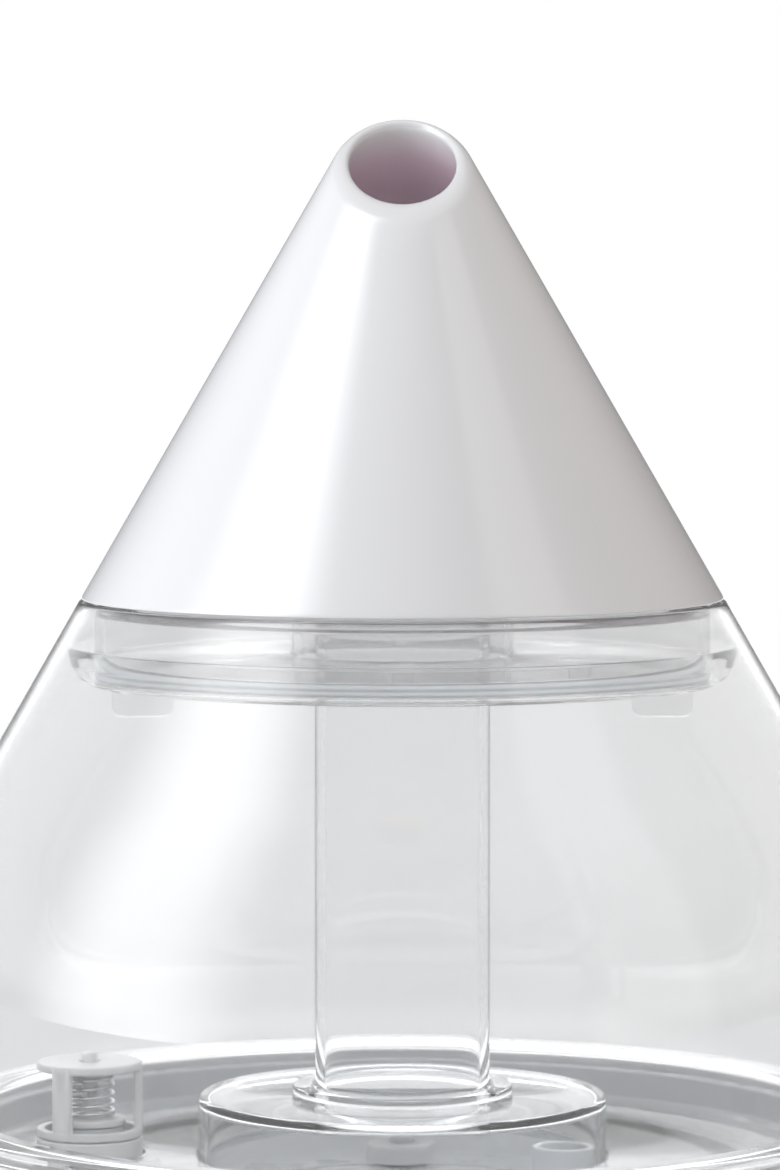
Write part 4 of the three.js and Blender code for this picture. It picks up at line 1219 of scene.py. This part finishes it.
def world():
    """A studio round the object. The camera sees plain white, and so do rays that have passed into a
    clear piece, brighter above the horizon. Other rays see cool light on the left, dim warm light on
    the right, less in front and behind and more overhead. Reflections add two soft windows."""
    scene_world = bpy.data.worlds.new("studio")
    bpy.context.scene.world = scene_world
    scene_world.use_nodes = True
    tree = scene_world.node_tree
    maths, step, window = nodes_for(tree)
    coordinates = tree.nodes.new("ShaderNodeTexCoord")
    split = tree.nodes.new("ShaderNodeSeparateXYZ")
    tree.links.new(coordinates.outputs["Generated"], split.inputs["Vector"])
    x, y, z = (split.outputs[axis] for axis in "XYZ")
    azimuth = maths("ARCTAN2", x, maths("MULTIPLY", y, -1))
    height = maths("ARCSINE", z)
    away = maths("ABSOLUTE", azimuth)
    path = tree.nodes.new("ShaderNodeLightPath")
    through = path.outputs["Is Transmission Ray"]

    def band(value, start, end, low, high):
        return step(value, math.radians(start), math.radians(end), low, high)

    def seen_window(spec):
        shape = maths("MULTIPLY", window(azimuth, *spec["azimuth"]), window(height, *spec["height"]))
        return maths("MULTIPLY", shape, spec["strength"])

    def background(colour, strength):
        node = tree.nodes.new("ShaderNodeBackground")
        for socket, value in ((node.inputs["Color"], colour), (node.inputs["Strength"], strength)):
            if isinstance(value, (int, float, tuple)):
                socket.default_value = value
            else:
                tree.links.new(value, socket)
        return node.outputs["Background"]

    colours = tree.nodes.new("ShaderNodeValToRGB")
    stops = colours.color_ramp.elements
    stops[0].color = (*LEFT_TONE, 1)
    stops[1].color = (*RIGHT_TONE, 1)
    stops.new(0.5).color = (*FRONT_TONE, 1)
    tree.links.new(maths("MULTIPLY_ADD", x, 0.55, 0.5), colours.inputs["Fac"])
    around_level = maths("MULTIPLY", band(away, *FRONT_BAND), band(away, *BACK_BAND))
    surround = maths("MAXIMUM", around_level, band(height, *OVERHEAD_BAND))

    sky = maths("ADD", band(height, *LOW_SKY_BAND), band(height, *HIGH_SKY_BAND))
    backdrop = maths("ADD", maths("MULTIPLY", through, sky), 1.0)
    mix = tree.nodes.new("ShaderNodeMixShader")
    tree.links.new(maths("MAXIMUM", path.outputs["Is Camera Ray"], through), mix.inputs["Fac"])
    tree.links.new(background(colours.outputs["Color"], surround), mix.inputs[1])
    tree.links.new(background((1, 1, 1, 1), backdrop), mix.inputs[2])

    mirrored = maths("MAXIMUM", maths("SUBTRACT", path.outputs["Is Glossy Ray"], through), 0.0)
    windows = maths("ADD", seen_window(TALL_WINDOW), seen_window(NARROW_WINDOW))
    both = tree.nodes.new("ShaderNodeAddShader")
    tree.links.new(mix.outputs["Shader"], both.inputs[0])
    tree.links.new(background((1, 1, 1, 1), maths("MULTIPLY", windows, mirrored)), both.inputs[1])
    tree.links.new(both.outputs["Shader"], tree.nodes["World Output"].inputs["Surface"])


def panel(name, at, target, width, height, power, colour=(1, 1, 1)):
    """A softbox in metres that faces a target. It doesn't show: reflections have world()'s windows."""
    data = bpy.data.lights.new(name, "AREA")
    data.shape = "RECTANGLE"
    data.size, data.size_y = width, height
    data.energy = power
    data.color = colour
    obj = bpy.data.objects.new(name, data)
    obj.location = at
    obj.rotation_euler = (Vector(target) - Vector(at)).to_track_quat("-Z", "Y").to_euler()
    obj.visible_camera = False
    obj.visible_glossy = False
    obj.visible_transmission = False
    bpy.context.scene.collection.objects.link(obj)


def lights():
    heart = (0, 0, 0.17)
    panel("softbox_left", (-1.15, -0.35, 0.75), heart, 1.0, 1.3, 9.5, (0.97, 0.985, 1))
    panel("softbox_top", (-0.1, -0.2, 1.6), heart, 1.2, 1.2, 3)


CAMERA_DISTANCE = 1.3
CAMERA_RISE = math.radians(3.5)
VIEW_HEIGHT = 0.275  # what the frame's height covers at the object's axis
FRAME_HEIGHT_PIXELS = 1170
AXIS_OFFSET = Vector((12.5, -15))  # of the rim's centre from the picture's centre, in pixels


def camera():
    data = bpy.data.cameras.new("camera")
    data.sensor_width = 36
    data.lens = data.sensor_width * CAMERA_DISTANCE / VIEW_HEIGHT
    data.clip_end = 50
    obj = bpy.data.objects.new("camera", data)
    bpy.context.scene.collection.objects.link(obj)
    per_pixel = VIEW_HEIGHT / FRAME_HEIGHT_PIXELS
    aim = Vector((-AXIS_OFFSET.x * per_pixel, 0, RIM_Z * MM - AXIS_OFFSET.y * per_pixel))
    back = Vector((0, -math.cos(CAMERA_RISE), math.sin(CAMERA_RISE)))
    obj.location = aim + back * CAMERA_DISTANCE
    obj.rotation_euler = (-back).to_track_quat("-Z", "Y").to_euler()
    bpy.context.scene.camera = obj
    bpy.context.scene.view_settings.view_transform = "Standard"


LIGHT_BOUNCES = 32


def light_paths():
    """Enough bounces for light to cross the tank, the neck seat and the lid, and come out again."""
    cycles = bpy.context.scene.cycles
    cycles.max_bounces = LIGHT_BOUNCES
    cycles.transmission_bounces = LIGHT_BOUNCES


# ---- build


camera()
light_paths()
world()
lights()
floor()

nozzle_cone()
nozzle_retainer()
lid_plug()
lid_seal()

tank_shell()
neck_seat()
mist_chimney()
tank_floor()
air_pocket_cup()
valve_body()
valve_gasket()
valve_cage()
valve_plunger()
valve_washer()
valve_spring()

base_housing()
base_pan()
feet()
screws()
water_basin()
mist_well()
air_pipe()
water_float()
transducer()
intake()
fan_frame()
fan_rotor()
air_duct()
dial()
socket()
lens()
carried_over()
